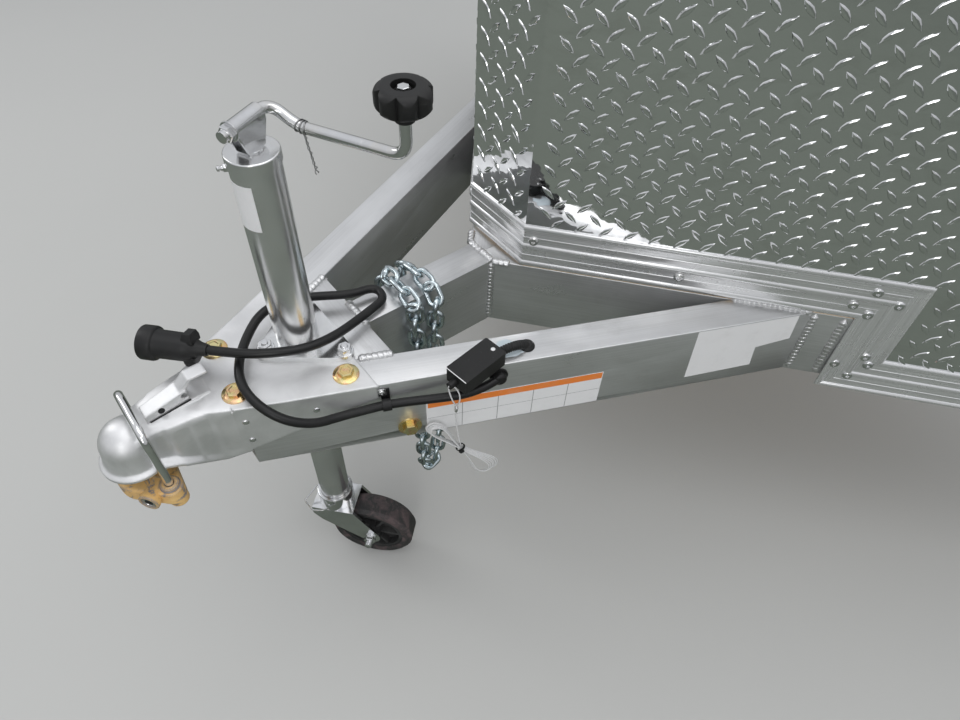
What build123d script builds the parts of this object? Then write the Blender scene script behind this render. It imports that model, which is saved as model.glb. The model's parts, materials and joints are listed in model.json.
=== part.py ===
from build123d import *
import math
import os

# Front end of an enclosed car trailer: A-frame tongue, coupler, jack, chains, lead and V nose.
# Millimetres. +X points forward to the coupler, +Y to the trailer's left, +Z up.
# The origin is the centre of the rear cross tube's rear face, where the box body joins.

# Frame tubes
TUBE_W = 50.8
TUBE_H = 127.0
TUBE_WALL = 4.8
JOIST_H = 76.2
CROSS_H = 76.2
JOIST_FIRST = 400.0
JOIST_PITCH = 350.0
JOIST_COUNT = 2

# V nose
NOSE_HALF = 1295.0
V_ANGLE = 49.5
FLAT_HALF = 62.0
FLOOR_T = 19.0
WALL_T = 40.0
WALL_H = 530.0
SKIN_T = 2.0

# Ribbed trim
TRIM_W = 76.0
TRIM_BASE = 1.6
RIB_W = 10.0
RIB_H = 2.4
LINE_W = 1.8
LINE_H = 0.7
BAND_LIFT = 5.0
DROP_ALONG = 492.1
SILL_HANG = 21.0

# Tongue
TONGUE_ANGLE = 24.2
RAIL_LEAD = 538.6
RAIL_FRONT_BACK = 129.0
CROSS_BACK = 312.6

# Coupler
BALL_LEAD = 2.8
BALL_R = 29.4
BALL_DROP = 27.0
SOCKET_WALL = 5.0
SKIRT_R = 38.0
SKIRT_LOW = 53.0
LIP_R = 44.0
LIP_T = 4.0
PLATE_T = 5.0
PLATE_REAR_BACK = 289.0
SEAT_GAP = 0.3
FLANGE_REAR_DEEP = 20.0
FLANGE_FRONT_DEEP = 88.0
NECK_BACK = 121.0
NECK_LAP = 6.0
NECK_EDGE = 8.0
PAD_FRONT = (30.0, 14.0, 1.2)
PAD_CREST = (95.0, 16.0, 8.5)
PAD_REAR = (112.0, 14.0, 6.0)

# Latch on the neck
LATCH_FRONT_BACK = 29.4
LATCH_REAR_BACK = 86.0
LATCH_HALF = 13.0
LATCH_SKIN = 3.0
LATCH_UP = (10.5, 25.5)
LATCH_HOLE_BACK = 50.5
LATCH_HOLE_R = 2.6
NOTCH_BACK = 82.0
NOTCH_R = 4.5
TAB_RISE_BACK = 93.0
TAB_END_BACK = 117.4
TAB_UP = 37.5
TAB_W = 19.0
TAB_ROOT = 8.0

# Coupler lock
SHACKLE_BACK = 17.0
SHACKLE_HALF = 47.5
SHACKLE_R = 5.5
SHACKLE_BEND = -8.0
SHACKLE_RISE = 28.0
LOCK_TOP = -85.0
LOCK_LOW = -121.0
LOCK_EAR_R = 16.0
LOCK_NOSE_R = 28.0
LOCK_PUCK_R = 20.0
LOCK_PUCK_H = 24.0
LOCK_ROUND = 9.0
KEY_YAW = 39.0
KEY_R = 14.0
KEY_LENGTH = 34.0
KEY_RECESS = 2.0
KEY_FACE = (-16.2, 50.2, -95.0)
COLLAR_R = 12.5
COLLAR_T = 5.0

# Jack
JACK_BACK = 245.1
JACK_R = 28.6
JACK_BORE_R = 26.0
JACK_TOP = 298.0
JACK_LOW = -135.0
JACK_FIT = 0.5
JACK_FLANGE_T = 8.0
JACK_EAR_R = 12.0
JACK_EAR_REAR = (-37.0, 63.0)
JACK_EAR_FRONT = 48.0
CAP_R = 30.3
CAP_T = 4.0
CAP_SKIRT = 9.0
LEG_R = 25.4
LEG_WALL = 3.2
LEG_TOP = 30.0
LEG_LOW = -425.0

# Crank
CRANK_YAW = 117.0
SHAFT_R = 9.0
HEAD_FOOT_R = 13.0
HEAD_FOOT_T = 3.0
HEAD_FOOT_HALF = 13.0
CHANNEL_T = 2.6
SLEEVE_Z = 335.0
SLEEVE_DEEP = 6.0
SLEEVE_HALF = 22.0
ROD_R = 6.4
ROD_FIT = 0.3
ARM_SIDE = 41.0
ARM_BEND = 80.0
ARM_REACH = 164.0
ARM_DROP = 10.0
NUT_T = 8.0
NUT_R = 11.0
KNOB_LIFT = 25.0
KNOB_H = 36.0
KNOB_NECK_R = 10.0
KNOB_NECK_H = 11.0
KNOB_LOBES = 7
KNOB_LOBE_R = 10.0
KNOB_RING_R = 19.0
KNOB_ROUND = 9.0
KNOB_CUP_R = 12.0
KNOB_CUP_DEEP = 8.0
KNOB_BOLT_R = 7.0

# Caster
CASTER_YAW = 132.0
CASTER_OFFSET = 65.0
AXLE_DROP = 505.0
AXLE_R = 6.3
AXLE_FIT = 0.05
AXLE_HEX_R = 10.5
AXLE_HEX_T = 8.0
AXLE_SPARE = 10.0
WHEEL_R = 76.0
WHEEL_HALF = 22.0
WHEEL_BEVEL = 6.0
HUB_R = 58.0
HUB_RIM_T = 7.0
HUB_WEB_T = 8.0
HUB_BOSS_R = 15.0
HUB_SPOKES = 6
HUB_SPOKE_T = 5.0
HUB_FIT = 0.08
FORK_HALF_IN = 26.0
FORK_T = 5.0
FORK_EYE_R = 18.0
PLATE_HALF = 38.0
CHEEK_DEEP = 20.0
CUP_R = 31.0
CUP_H = 34.0

# Lead, switch and lanyard
LEAD_R = 6.35
PLUG_R = 24.0
PLUG_CAP_R = 23.0
PLUG_BODY_R = 19.0
PLUG_LENGTH = 60.0
BOOT_LENGTH = 26.0
WING_W = 22.0
WING_T = 14.0
ENTRY_BACK = 440.5
ENTRY_UP = -20.3
GLAND_R = 13.0
GLAND_DOME_R = 10.0
GLAND_H = 13.0
GLAND_FLANGE = 3.0
CLIP_BACK = 293.4
CLIP_OUT = 11.7
CLIP_UP = -30.0
CLIP_T = 1.5
CLIP_W = 12.0
CLIP_TAB = 12.0
CLIP_FIT = 1.0
SWITCH_BACK = 408.4
SWITCH_OUT = 4.7
SWITCH_YAW = 7.7
SWITCH_SIZE = (76.0, 38.0, 24.0)
SWITCH_ROUND = 3.0
PIN_R = 5.0
PIN_LENGTH = 12.0
LOOM_R = 8.0
CABLE_R = 1.0
HANK_T = 8.0
HANK_TILT = 57.0

# Safety chains
LINK_WIRE = 8.0
LINK_PITCH = 28.0
LINK_HALF_W = 10.5
LINK_PLAY = 0.4
CHAIN_BOLT_BACK = 325.0
CHAIN_BOLT_UP = -101.7
CHAIN_BOLT_R = 5.5
CHAIN_BOLT_IN = 24.0
WASHER_R = 17.0
WASHER_T = 3.0
BOLT_HEX_R = 10.5
BOLT_HEX_T = 8.0

SIN_V = math.sin(math.radians(V_ANGLE))
COS_V = math.cos(math.radians(V_ANGLE))
TAN_V = SIN_V / COS_V
TAN_T = math.tan(math.radians(TONGUE_ANGLE))
COS_T = math.cos(math.radians(TONGUE_ANGLE))
SIN_T = math.sin(math.radians(TONGUE_ANGLE))

TOP = TUBE_H / 2
BOTTOM = -TUBE_H / 2
APEX_X = NOSE_HALF / TAN_V
NOSE_X = APEX_X - TUBE_W / 2 / TAN_V
FLAT_X = APEX_X - FLAT_HALF / TAN_V
V_LENGTH = (NOSE_HALF - FLAT_HALF) / SIN_V
RAIL_APEX_X = APEX_X + RAIL_LEAD
BALL_X = RAIL_APEX_X + BALL_LEAD
JACK_X = BALL_X - JACK_BACK
CROSS_X = BALL_X - CROSS_BACK
RAIL_FRONT_X = BALL_X - RAIL_FRONT_BACK
WALL_TOP = TOP + WALL_H
DROP_LOW = BOTTOM - SILL_HANG
BAND_LOW = TOP + BAND_LIFT
OVERRUN = 60.0
UPWARD = (Align.CENTER, Align.CENTER, Align.MIN)

PARTS = {}


def keep(name, shape):
    """Store one node's solid or solids."""
    PARTS[name] = shape
    return shape


def mirrored(shape):
    """The same piece on the trailer's other side."""
    return mirror(shape, about=Plane.XZ)


def raised(points, z0, z1):
    """A plan outline raised from z0 to z1."""
    face = make_face(Polyline(*points, close=True))
    return extrude(Pos(0, 0, z0) * face, amount=z1 - z0, dir=(0, 0, 1))


def v_x(y, offset=0.0):
    """X of the left V face at y, moved outward by an offset."""
    return APEX_X - y / TAN_V + offset / SIN_V


def v_y(x, offset=0.0):
    """Y of the left V face at x, moved outward by an offset."""
    return (APEX_X + offset / SIN_V - x) * TAN_V


def rail_y(x, offset=0.0):
    """Y of the left rail's outer face at x, moved outward by an offset."""
    return (RAIL_APEX_X - x) * TAN_T + offset / COS_T


def rail_meets_v(offset, v_offset=0.0):
    """Plan point where a line along the left rail meets a line along the V face."""
    run = RAIL_APEX_X - APEX_X - v_offset / SIN_V
    y = (run * TAN_T + offset / COS_T) / (1 - TAN_T / TAN_V)
    return (v_x(y, v_offset), y)


def ahead(back, y, up):
    """A point given by its distance behind the ball, its side and its height over the rails."""
    return (BALL_X - back, y, TOP + up)


def beside(back, out, up):
    """A point beside the left rail, given as ahead's but with its side measured from the rail's face."""
    return (BALL_X - back, rail_y(BALL_X - back) + out, TOP + up)


def fold(offset):
    """Plan point of the left fold between the nose's flat and its V face."""
    x = FLAT_X + offset
    return (x, v_y(x, offset))


# Frame
def side_rail():
    """One tongue rail, from under the coupler to the V tube."""
    def outline(outer, inner, front, v_offset):
        far_out = rail_meets_v(outer, v_offset)
        far_in = rail_meets_v(inner, v_offset)
        return [(front, rail_y(front, outer)), far_out, far_in, (front, rail_y(front, inner))]

    body = raised(outline(0, -TUBE_W, RAIL_FRONT_X, 0), BOTTOM, TOP)
    hollow = outline(-TUBE_WALL, TUBE_WALL - TUBE_W, RAIL_FRONT_X + OVERRUN, -OVERRUN)
    return body - raised(hollow, BOTTOM + TUBE_WALL, TOP - TUBE_WALL)


def cross_tube(x, height, y_front, y_rear):
    """A tube across the frame, its ends following the tubes beside it."""
    half = TUBE_W / 2
    inner = half - TUBE_WALL
    slope = (y_rear - y_front) / TUBE_W

    def outline(reach, extra):
        y_f = y_front + slope * (half - reach) + extra
        y_r = y_rear - slope * (half - reach) + extra
        return [(x + reach, -y_f), (x + reach, y_f), (x - reach, y_r), (x - reach, -y_r)]

    body = raised(outline(half, 0), TOP - height, TOP)
    return body - raised(outline(inner, OVERRUN), TOP - height + TUBE_WALL, TOP - TUBE_WALL)


def centre_rail():
    """The middle tube, from the cross member to the nose."""
    rear, front = NOSE_X, CROSS_X - TUBE_W / 2
    half, inner = TUBE_W / 2, TUBE_W / 2 - TUBE_WALL
    body = raised([(rear, -half), (front, -half), (front, half), (rear, half)], BOTTOM, TOP)
    hollow = [(rear - 1, -inner), (front + 1, -inner), (front + 1, inner), (rear - 1, inner)]
    return body - raised(hollow, BOTTOM + TUBE_WALL, TOP - TUBE_WALL)


def v_tube():
    """The frame tube under one V face, mitred at the trailer's centre line."""
    outline = [
        (NOSE_X, 0),
        (NOSE_X, TUBE_W / 2),
        (0, v_y(0)),
        (0, v_y(0, -TUBE_W)),
        (v_x(0, -TUBE_W), 0),
    ]
    inside = [
        (NOSE_X - TUBE_WALL, -OVERRUN),
        (NOSE_X - TUBE_WALL, v_y(NOSE_X - TUBE_WALL, -TUBE_WALL)),
        (-OVERRUN, v_y(-OVERRUN, -TUBE_WALL)),
        (-OVERRUN, v_y(-OVERRUN, TUBE_WALL - TUBE_W)),
        (v_x(-OVERRUN, TUBE_WALL - TUBE_W), -OVERRUN),
    ]
    return raised(outline, BOTTOM, TOP) - raised(inside, BOTTOM + TUBE_WALL, TOP - TUBE_WALL)


def between_v(x, height):
    """A tube across the nose, between the two V tubes."""
    half = TUBE_W / 2
    return cross_tube(x, height, v_y(x + half, -TUBE_W), v_y(x - half, -TUBE_W))


rail_left = keep("rail_left", side_rail())
keep("rail_right", mirrored(rail_left))
keep("rail_centre", centre_rail())
half_tube = TUBE_W / 2
cross_front_y = rail_y(CROSS_X + half_tube, -TUBE_W)
cross_rear_y = rail_y(CROSS_X - half_tube, -TUBE_W)
keep("cross_member", cross_tube(CROSS_X, CROSS_H, cross_front_y, cross_rear_y))
v_left = keep("v_tube_left", v_tube())
keep("v_tube_right", mirrored(v_left))
keep("rear_cross_tube", between_v(half_tube, TUBE_H))
joists = [between_v(JOIST_FIRST + i * JOIST_PITCH, JOIST_H) for i in range(JOIST_COUNT)]
keep("floor_joists", Compound(joists))


# Floor and walls
def nose_plan(offset):
    """The nose's outline at an offset from its outer face, open at the rear plane."""
    x_fold, y_fold = fold(offset)
    y_rear = v_y(0, offset)
    return [(x_fold, -y_fold), (x_fold, y_fold), (0, y_rear), (0, -y_rear)]


wall_out, wall_in = fold(0), fold(-WALL_T)
rear_out, rear_in = (0, v_y(0)), (0, v_y(0, -WALL_T))
keep("nose_floor", raised(nose_plan(-WALL_T), TOP, TOP + FLOOR_T))
wall_left = keep("wall_left", raised([wall_out, rear_out, rear_in, wall_in], TOP, WALL_TOP))
keep("wall_right", mirrored(wall_left))
front_plan = [wall_out, wall_in, (wall_in[0], -wall_in[1]), (wall_out[0], -wall_out[1])]
keep("wall_front", raised(front_plan, TOP, WALL_TOP))

# Skin and trims are drawn on the wall's face: along it from the fold, up, and outward.
V_FACE = Plane(origin=(*fold(0), 0), x_dir=(-COS_V, SIN_V, 0), z_dir=(SIN_V, COS_V, 0))
FLAT_FACE = Plane(origin=(FLAT_X, 0, 0), x_dir=(0, 1, 0), z_dir=(1, 0, 0))
mitre_run = Vector(*fold(1), 0) - Vector(*fold(0), 0)
MITRE = Plane(origin=(*fold(0), 0), z_dir=mitre_run.cross(Vector(0, 0, 1)))
REAR = Plane(origin=(0, 0, 0), z_dir=(1, 0, 0))


def on_face(face, points, low, high):
    """An outline on a wall face, thickened from one offset to another."""
    outline = make_face(Polyline(*points, close=True))
    return extrude(face * Pos(0, 0, low) * outline, amount=high - low, dir=face.z_dir)


def trimmed_v(shape):
    """A V-face piece cut at the fold's mitre and at the rear plane."""
    outside = split(shape, bisect_by=MITRE, keep=Keep.TOP)
    if outside.center().Y < fold(0)[1]:
        outside = split(shape, bisect_by=MITRE, keep=Keep.BOTTOM)
    return split(outside, bisect_by=REAR, keep=Keep.TOP)


def trimmed_flat(shape):
    """A piece of the flat cut at both folds."""
    right = Plane(origin=(fold(0)[0], -fold(0)[1], 0), z_dir=(MITRE.z_dir.X, -MITRE.z_dir.Y, 0))
    for plane in (MITRE, right):
        side = Keep.TOP if plane.to_local_coords(Vector(FLAT_X, 0, 0)).Z > 0 else Keep.BOTTOM
        shape = split(shape, bisect_by=plane, keep=side)
    return shape


def rect(x0, x1, z0, z1):
    """Corners of an upright rectangle on a face."""
    return [(x0, z0), (x1, z0), (x1, z1), (x0, z1)]


def rib(start, width, height, upright):
    """A long rounded rib on the trim's base, across it at a start."""
    base, reach = SKIN_T + TRIM_BASE, V_LENGTH + WALL_H
    arc = ThreePointArc((0, start, base), (0, start + width / 2, base + height), (0, start + width, base))
    section = make_face([arc, Line(arc @ 1, arc @ 0)])
    bar = extrude(Pos(-reach, 0, 0) * section, amount=3 * reach, dir=(1, 0, 0))
    return Rot(0, 0, -90) * bar if upright else bar


def ribbed(face, points, start, upright):
    """Trim with an outline on a face: three broad ribs and, between them, two fine lines."""
    base = SKIN_T + TRIM_BASE
    plate = on_face(face, points, SKIN_T, base)
    block = on_face(face, points, base, base + RIB_H)
    pitch = (TRIM_W - RIB_W) / 2
    for i in range(3):
        plate += (face * rib(start + i * pitch, RIB_W, RIB_H, upright)) & block
    for i in range(2):
        middle = start + RIB_W + i * pitch + (pitch - RIB_W) / 2
        plate += (face * rib(middle - LINE_W / 2, LINE_W, LINE_H, upright)) & block
    return plate


V_END = V_LENGTH + OVERRUN
drop_end = DROP_ALONG + TRIM_W
band_top = BAND_LOW + TRIM_W
sill_top = DROP_LOW + TRIM_W
top_low = WALL_TOP - TRIM_W

skin_v = [
    (-OVERRUN, BAND_LOW),
    (DROP_ALONG + RIB_W, BAND_LOW),
    (DROP_ALONG + RIB_W, DROP_LOW),
    (V_END, DROP_LOW),
    (V_END, WALL_TOP),
    (-OVERRUN, WALL_TOP),
]
skin_left = trimmed_v(on_face(V_FACE, skin_v, 0, SKIN_T))
flat_rect = rect(-FLAT_HALF - OVERRUN, FLAT_HALF + OVERRUN, BAND_LOW, WALL_TOP)
skin_front = trimmed_flat(on_face(FLAT_FACE, flat_rect, 0, SKIN_T))
keep("stone_guard", skin_left + skin_front + mirrored(skin_left))

band = [(-OVERRUN, BAND_LOW), (DROP_ALONG, BAND_LOW), (drop_end, band_top), (-OVERRUN, band_top)]
drop = [(DROP_ALONG, BAND_LOW), (DROP_ALONG, DROP_LOW), (drop_end, sill_top), (drop_end, band_top)]
sill = [(DROP_ALONG, DROP_LOW), (V_END, DROP_LOW), (V_END, sill_top), (drop_end, sill_top)]
top = rect(-OVERRUN, V_END, top_low, WALL_TOP)
# name, outline, where the ribs start, ribs upright
V_TRIMS = (
    ("trim_band", band, BAND_LOW, False),
    ("trim_drop", drop, DROP_ALONG, True),
    ("trim_sill", sill, DROP_LOW, False),
    ("trim_top", top, top_low, False),
)
for name, outline, start, upright in V_TRIMS:
    left = keep(name + "_left", trimmed_v(ribbed(V_FACE, outline, start, upright)))
    keep(name + "_right", mirrored(left))
for name, start in (("trim_band_front", BAND_LOW), ("trim_top_front", top_low)):
    outline = rect(-FLAT_HALF - OVERRUN, FLAT_HALF + OVERRUN, start, start + TRIM_W)
    keep(name, trimmed_flat(ribbed(FLAT_FACE, outline, start, False)))


# Coupler
def upright_ring(points):
    """A profile of radius and height turned about the ball's upright axis."""
    face = make_face(Polyline(*[(r, 0, z) for r, z in points], close=True))
    return Pos(BALL_X, 0, 0) * revolve(face, axis=Axis.Z)


def neck_section(back, top, waist, lip, up, low, inset=0.0):
    """One cross-section of the neck: flat top, rounded shoulder, flank and flared lip."""
    right = [
        (lip - inset, low - (OVERRUN if inset else 0)),
        (lip - inset, low + LIP_T),
        (waist - inset, low + 3 * LIP_T),
        (waist - inset, up - NECK_EDGE),
        ((top + waist) / 2 + 2 - inset, up - NECK_EDGE / 4 - inset),
        (top - inset, up - inset),
    ]
    corners = right + [(-y, z) for y, z in reversed(right)]
    return make_face(Polyline(*[ahead(back, y, z) for y, z in corners], close=True))


def block_section(back, half, high, low):
    """An upright rectangle across the coupler, centred on it."""
    corners = [(-half, low), (half, low), (half, high), (-half, high)]
    return make_face(Polyline(*[ahead(back, y, z) for y, z in corners], close=True))


def coupler():
    """The stamped coupler: A-plate, side flanges, neck and ball socket in one piece."""
    rear_x = BALL_X - PLATE_REAR_BACK
    neck_x = BALL_X - NECK_BACK
    out = SEAT_GAP + PLATE_T
    outline = [
        (rear_x, -rail_y(rear_x, out)),
        (rear_x, rail_y(rear_x, out)),
        (neck_x, rail_y(neck_x, out)),
        (neck_x, -rail_y(neck_x, out)),
    ]
    body = raised(outline, TOP, TOP + PLATE_T)
    rail_dir = Vector(-COS_T, SIN_T, 0)
    corner = Vector(neck_x, rail_y(neck_x, SEAT_GAP), TOP)
    flange_face = Plane(origin=corner, x_dir=rail_dir, z_dir=(SIN_T, COS_T, 0))
    length = (neck_x - rear_x) / COS_T
    flange = [(0, 0), (length, 0), (length, -FLANGE_REAR_DEEP), (0, -FLANGE_FRONT_DEEP)]
    left = on_face(flange_face, flange, 0, PLATE_T)
    body = body + left + mirrored(left)

    wide = rail_y(neck_x - NECK_LAP, out) + SEAT_GAP
    # behind the ball; half widths of top, waist and lip; heights of top and lower edge
    sections = (
        (NECK_BACK + NECK_LAP, wide - NECK_EDGE, wide, wide, PLATE_T, -FLANGE_FRONT_DEEP),
        (95.0, 36.0, 45.0, 47.5, 5.0, -97.0),
        (70.0, 31.0, 41.5, 46.0, 4.6, -84.0),
        (46.0, 27.0, 37.5, 45.5, 3.0, -70.0),
        (41.0, 25.0, 33.5, 44.0, 2.4, -67.0),
        (24.0, 21.0, 31.0, 42.0, 0.0, -60.0),
        (0.0, 18.0, 30.0, 41.0, -4.0, -SKIRT_LOW - LIP_T),
    )
    shell = loft([neck_section(*section) for section in sections], ruled=True)
    hollow = loft([neck_section(*section, inset=PLATE_T) for section in sections], ruled=True)
    centre_z = TOP - BALL_DROP
    skirt_z = TOP - SKIRT_LOW
    dome = Pos(BALL_X, 0, centre_z) * Sphere(BALL_R + SOCKET_WALL)
    skirt = upright_ring([
        (0, centre_z), (BALL_R + SOCKET_WALL, centre_z), (SKIRT_R, skirt_z + LIP_T),
        (LIP_R, skirt_z), (LIP_R, skirt_z - LIP_T), (0, skirt_z - LIP_T),
    ])
    pad = loft([block_section(*place, 0) for place in (PAD_FRONT, PAD_CREST, PAD_REAR)], ruled=True)
    body += shell + dome + skirt - hollow + pad
    cavity = upright_ring([
        (0, centre_z), (BALL_R, centre_z), (SKIRT_R - SOCKET_WALL, skirt_z),
        (SKIRT_R - SOCKET_WALL, skirt_z - OVERRUN), (0, skirt_z - OVERRUN),
    ])
    body = body - Pos(BALL_X, 0, centre_z) * Sphere(BALL_R) - cavity
    return body - Pos(JACK_X, 0, TOP) * Cylinder(JACK_R + JACK_FIT, OVERRUN)


keep("coupler", coupler())


def pad_up(back):
    """Height of the neck's pad over the rails, under the latch."""
    (back_0, _, up_0), (back_1, _, up_1) = PAD_FRONT, PAD_CREST
    return up_0 + (up_1 - up_0) * (back - back_0) / (back_1 - back_0)


def latch():
    """The latch lever: a tapered channel that rises to a raised finger tab."""
    front_up, rear_up = LATCH_UP
    # behind the ball, half width of the top, its height
    ends = ((LATCH_FRONT_BACK, LATCH_HALF - 3.0, front_up), (LATCH_REAR_BACK, LATCH_HALF - 1.0, rear_up))

    def channel(inset):
        faces = []
        for back, half, up in ends:
            foot = pad_up(back) + SEAT_GAP - (OVERRUN if inset else 0)
            corners = [(-LATCH_HALF + inset, foot), (-half + inset, up - inset),
                       (half - inset, up - inset), (LATCH_HALF - inset, foot)]
            faces.append(make_face(Polyline(*[ahead(back, y, z) for y, z in corners], close=True)))
        return loft(faces, ruled=True)

    side = [
        (LATCH_REAR_BACK - TAB_ROOT, rear_up - 2.1), (TAB_RISE_BACK, TAB_UP), (TAB_END_BACK, TAB_UP),
        (TAB_END_BACK, TAB_UP - LATCH_SKIN), (TAB_RISE_BACK + 2, TAB_UP - LATCH_SKIN),
        (LATCH_REAR_BACK, rear_up - LATCH_SKIN), (LATCH_REAR_BACK - TAB_ROOT, rear_up - 5.1),
    ]
    tab = make_face(Polyline(*[ahead(back, -TAB_W / 2, up) for back, up in side], close=True))
    body = channel(0) - channel(LATCH_SKIN) + extrude(tab, amount=TAB_W, dir=(0, 1, 0))
    # behind the ball, height over the pad, radius
    for back, rise, radius in ((LATCH_HOLE_BACK, 7.0, LATCH_HOLE_R), (NOTCH_BACK, 10.0, NOTCH_R)):
        at = ahead(back, LATCH_HALF, pad_up(back) + rise)
        body -= Pos(*at) * Rot(90, 0, 0) * Cylinder(radius, 4 * LATCH_SKIN)
    return body


keep("coupler_latch", latch())


def shackle():
    """The lock's round bow over the coupler's neck."""
    x = BALL_X - SHACKLE_BACK
    low, bend = TOP + LOCK_TOP, TOP + SHACKLE_BEND
    path = Line((x, -SHACKLE_HALF, low), (x, -SHACKLE_HALF, bend))
    path += Spline(
        (x, -SHACKLE_HALF, bend), (x, 0, bend + SHACKLE_RISE), (x, SHACKLE_HALF, bend),
        tangents=((0, 0, 1), (0, 0, -1)),
    )
    path += Line((x, SHACKLE_HALF, bend), (x, SHACKLE_HALF, low))
    section = Plane(origin=(x, -SHACKLE_HALF, low), z_dir=(0, 0, 1)) * Circle(SHACKLE_R)
    return sweep(section, path=path)


def lock_body():
    """The coupler lock's casting under the socket: ears, puck and key barrel."""
    x = BALL_X - SHACKLE_BACK
    high, low = TOP + LOCK_TOP, TOP + LOCK_LOW
    plan = make_hull([
        *(Pos(x, SHACKLE_HALF) * Circle(LOCK_EAR_R)).edges(),
        *(Pos(x, -SHACKLE_HALF) * Circle(LOCK_EAR_R)).edges(),
        *(Pos(BALL_X, 0) * Circle(LOCK_NOSE_R)).edges(),
    ])
    body = extrude(Pos(0, 0, low) * plan, amount=high - low, dir=(0, 0, 1))
    body = fillet(body.edges().group_by(Axis.Z)[0], LOCK_ROUND)
    body += Pos(BALL_X, 0, high + LOCK_PUCK_H / 2) * Cylinder(LOCK_PUCK_R, LOCK_PUCK_H)
    collar = Cylinder(COLLAR_R, COLLAR_T) - Cylinder(SHACKLE_R + JACK_FIT, COLLAR_T)
    for side in (-1, 1):
        body += Pos(x, side * SHACKLE_HALF, high + COLLAR_T / 2) * collar
    key = Pos(*ahead(*KEY_FACE)) * Rot(0, 0, KEY_YAW) * Rot(0, -90, 0)
    body += key * Cylinder(KEY_R, KEY_LENGTH, align=UPWARD)
    return body - key * Cylinder(KEY_R - 2 * KEY_RECESS, KEY_RECESS, align=UPWARD)


keep("lock_shackle", shackle())
keep("coupler_lock", lock_body())


# Jack
def jack_at(z):
    """A place on the jack's axis, its height given from the rails' top face."""
    return Pos(JACK_X, 0, TOP + z)


def upright_tube(radius, bore, low, high):
    """A round upright tube on the jack's axis."""
    height = high - low
    return jack_at((low + high) / 2) * (Cylinder(radius, height) - Cylinder(bore, height))


def jack_flange():
    """The triangular plate that bolts the jack to the coupler."""
    rear, side = JACK_EAR_REAR
    ears = ((rear, side), (rear, -side), (JACK_EAR_FRONT, 0.0))
    edges = [e for x, y in ears for e in (Pos(JACK_X + x, y) * Circle(JACK_EAR_R)).edges()]
    low = TOP + PLATE_T
    plate = extrude(Pos(0, 0, low) * make_hull(edges), amount=JACK_FLANGE_T, dir=(0, 0, 1))
    return plate - jack_at(0) * Cylinder(JACK_BORE_R, OVERRUN)


keep("jack_tube", upright_tube(JACK_R, JACK_BORE_R, JACK_LOW, JACK_TOP) + jack_flange())
cap_top = JACK_TOP + CAP_T
cap = upright_tube(CAP_R, SHAFT_R + JACK_FIT, JACK_TOP, cap_top)
cap = fillet(cap.edges().group_by(Axis.Z)[-1].sort_by(SortBy.RADIUS)[-1], CAP_T / 2)
keep("jack_cap", cap + upright_tube(CAP_R, JACK_R + SEAT_GAP, JACK_TOP - CAP_SKIRT, JACK_TOP))
leg_floor = jack_at(LEG_LOW + LEG_WALL / 2) * Cylinder(LEG_R, LEG_WALL)
keep("jack_leg", upright_tube(LEG_R, LEG_R - LEG_WALL, LEG_LOW, LEG_TOP) + leg_floor)


# Crank: along the arm, along the sleeve, up
CRANK = Pos(JACK_X, 0, TOP) * Rot(0, 0, CRANK_YAW)


def crank_head():
    """The crank's turning head: a shaft and foot with a sheet folded over the rod."""
    foot_low = cap_top + SEAT_GAP
    foot_high = foot_low + HEAD_FOOT_T
    shaft_low = JACK_TOP + SHAFT_R / 2
    shaft = Pos(0, 0, shaft_low) * Cylinder(SHAFT_R, foot_high - shaft_low, align=UPWARD)
    foot = Pos(0, 0, foot_low) * Cylinder(HEAD_FOOT_R, HEAD_FOOT_T, align=UPWARD)

    def arch(radius, low):
        leg = Pos(0, 0, (low + SLEEVE_Z) / 2) * Box(2 * radius, 3 * SLEEVE_HALF, SLEEVE_Z - low)
        return leg + Pos(0, 0, SLEEVE_Z) * Rot(90, 0, 0) * Cylinder(radius, 3 * SLEEVE_HALF)

    inner = ROD_R + ROD_FIT
    side = [
        (-SLEEVE_HALF, SLEEVE_Z + 2 * SLEEVE_HALF), (-SLEEVE_HALF, SLEEVE_Z - SLEEVE_DEEP),
        (-HEAD_FOOT_HALF, foot_low + HEAD_FOOT_T / 2), (HEAD_FOOT_HALF, foot_low + HEAD_FOOT_T / 2),
        (SLEEVE_HALF, SLEEVE_Z - SLEEVE_DEEP), (SLEEVE_HALF, SLEEVE_Z + 2 * SLEEVE_HALF),
    ]
    outline = make_face(Polyline(*[(0, y, z) for y, z in side], close=True))
    sheet = extrude(outline, amount=2 * SLEEVE_HALF, dir=(1, 0, 0), both=True)
    folded = (arch(inner + CHANNEL_T, foot_low) & sheet) - arch(inner, foot_high)
    return CRANK * (shaft + foot + folded)


def crank_handle():
    """The bent rod from the sleeve out to the knob, with the nut that keeps it in."""
    rod_points = [
        (0, -SLEEVE_HALF - NUT_T - 4, SLEEVE_Z),
        (0, ARM_SIDE, SLEEVE_Z),
        (ARM_BEND, ARM_SIDE, SLEEVE_Z - ARM_DROP),
        (ARM_REACH, ARM_SIDE, SLEEVE_Z - ARM_DROP),
        (ARM_REACH, ARM_SIDE, SLEEVE_Z + KNOB_LIFT),
    ]
    path = FilletPolyline(*rod_points, radius=[18, 60, 14])
    section = Plane(origin=path @ 0, z_dir=path % 0) * Circle(ROD_R)
    rod = sweep(section, path=path)
    nut_at = Pos(0, -SLEEVE_HALF - ROD_FIT, SLEEVE_Z) * Rot(90, 0, 0)
    nut = nut_at * extrude(RegularPolygon(NUT_R, 6), amount=NUT_T)
    return CRANK * (rod + nut)


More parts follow.
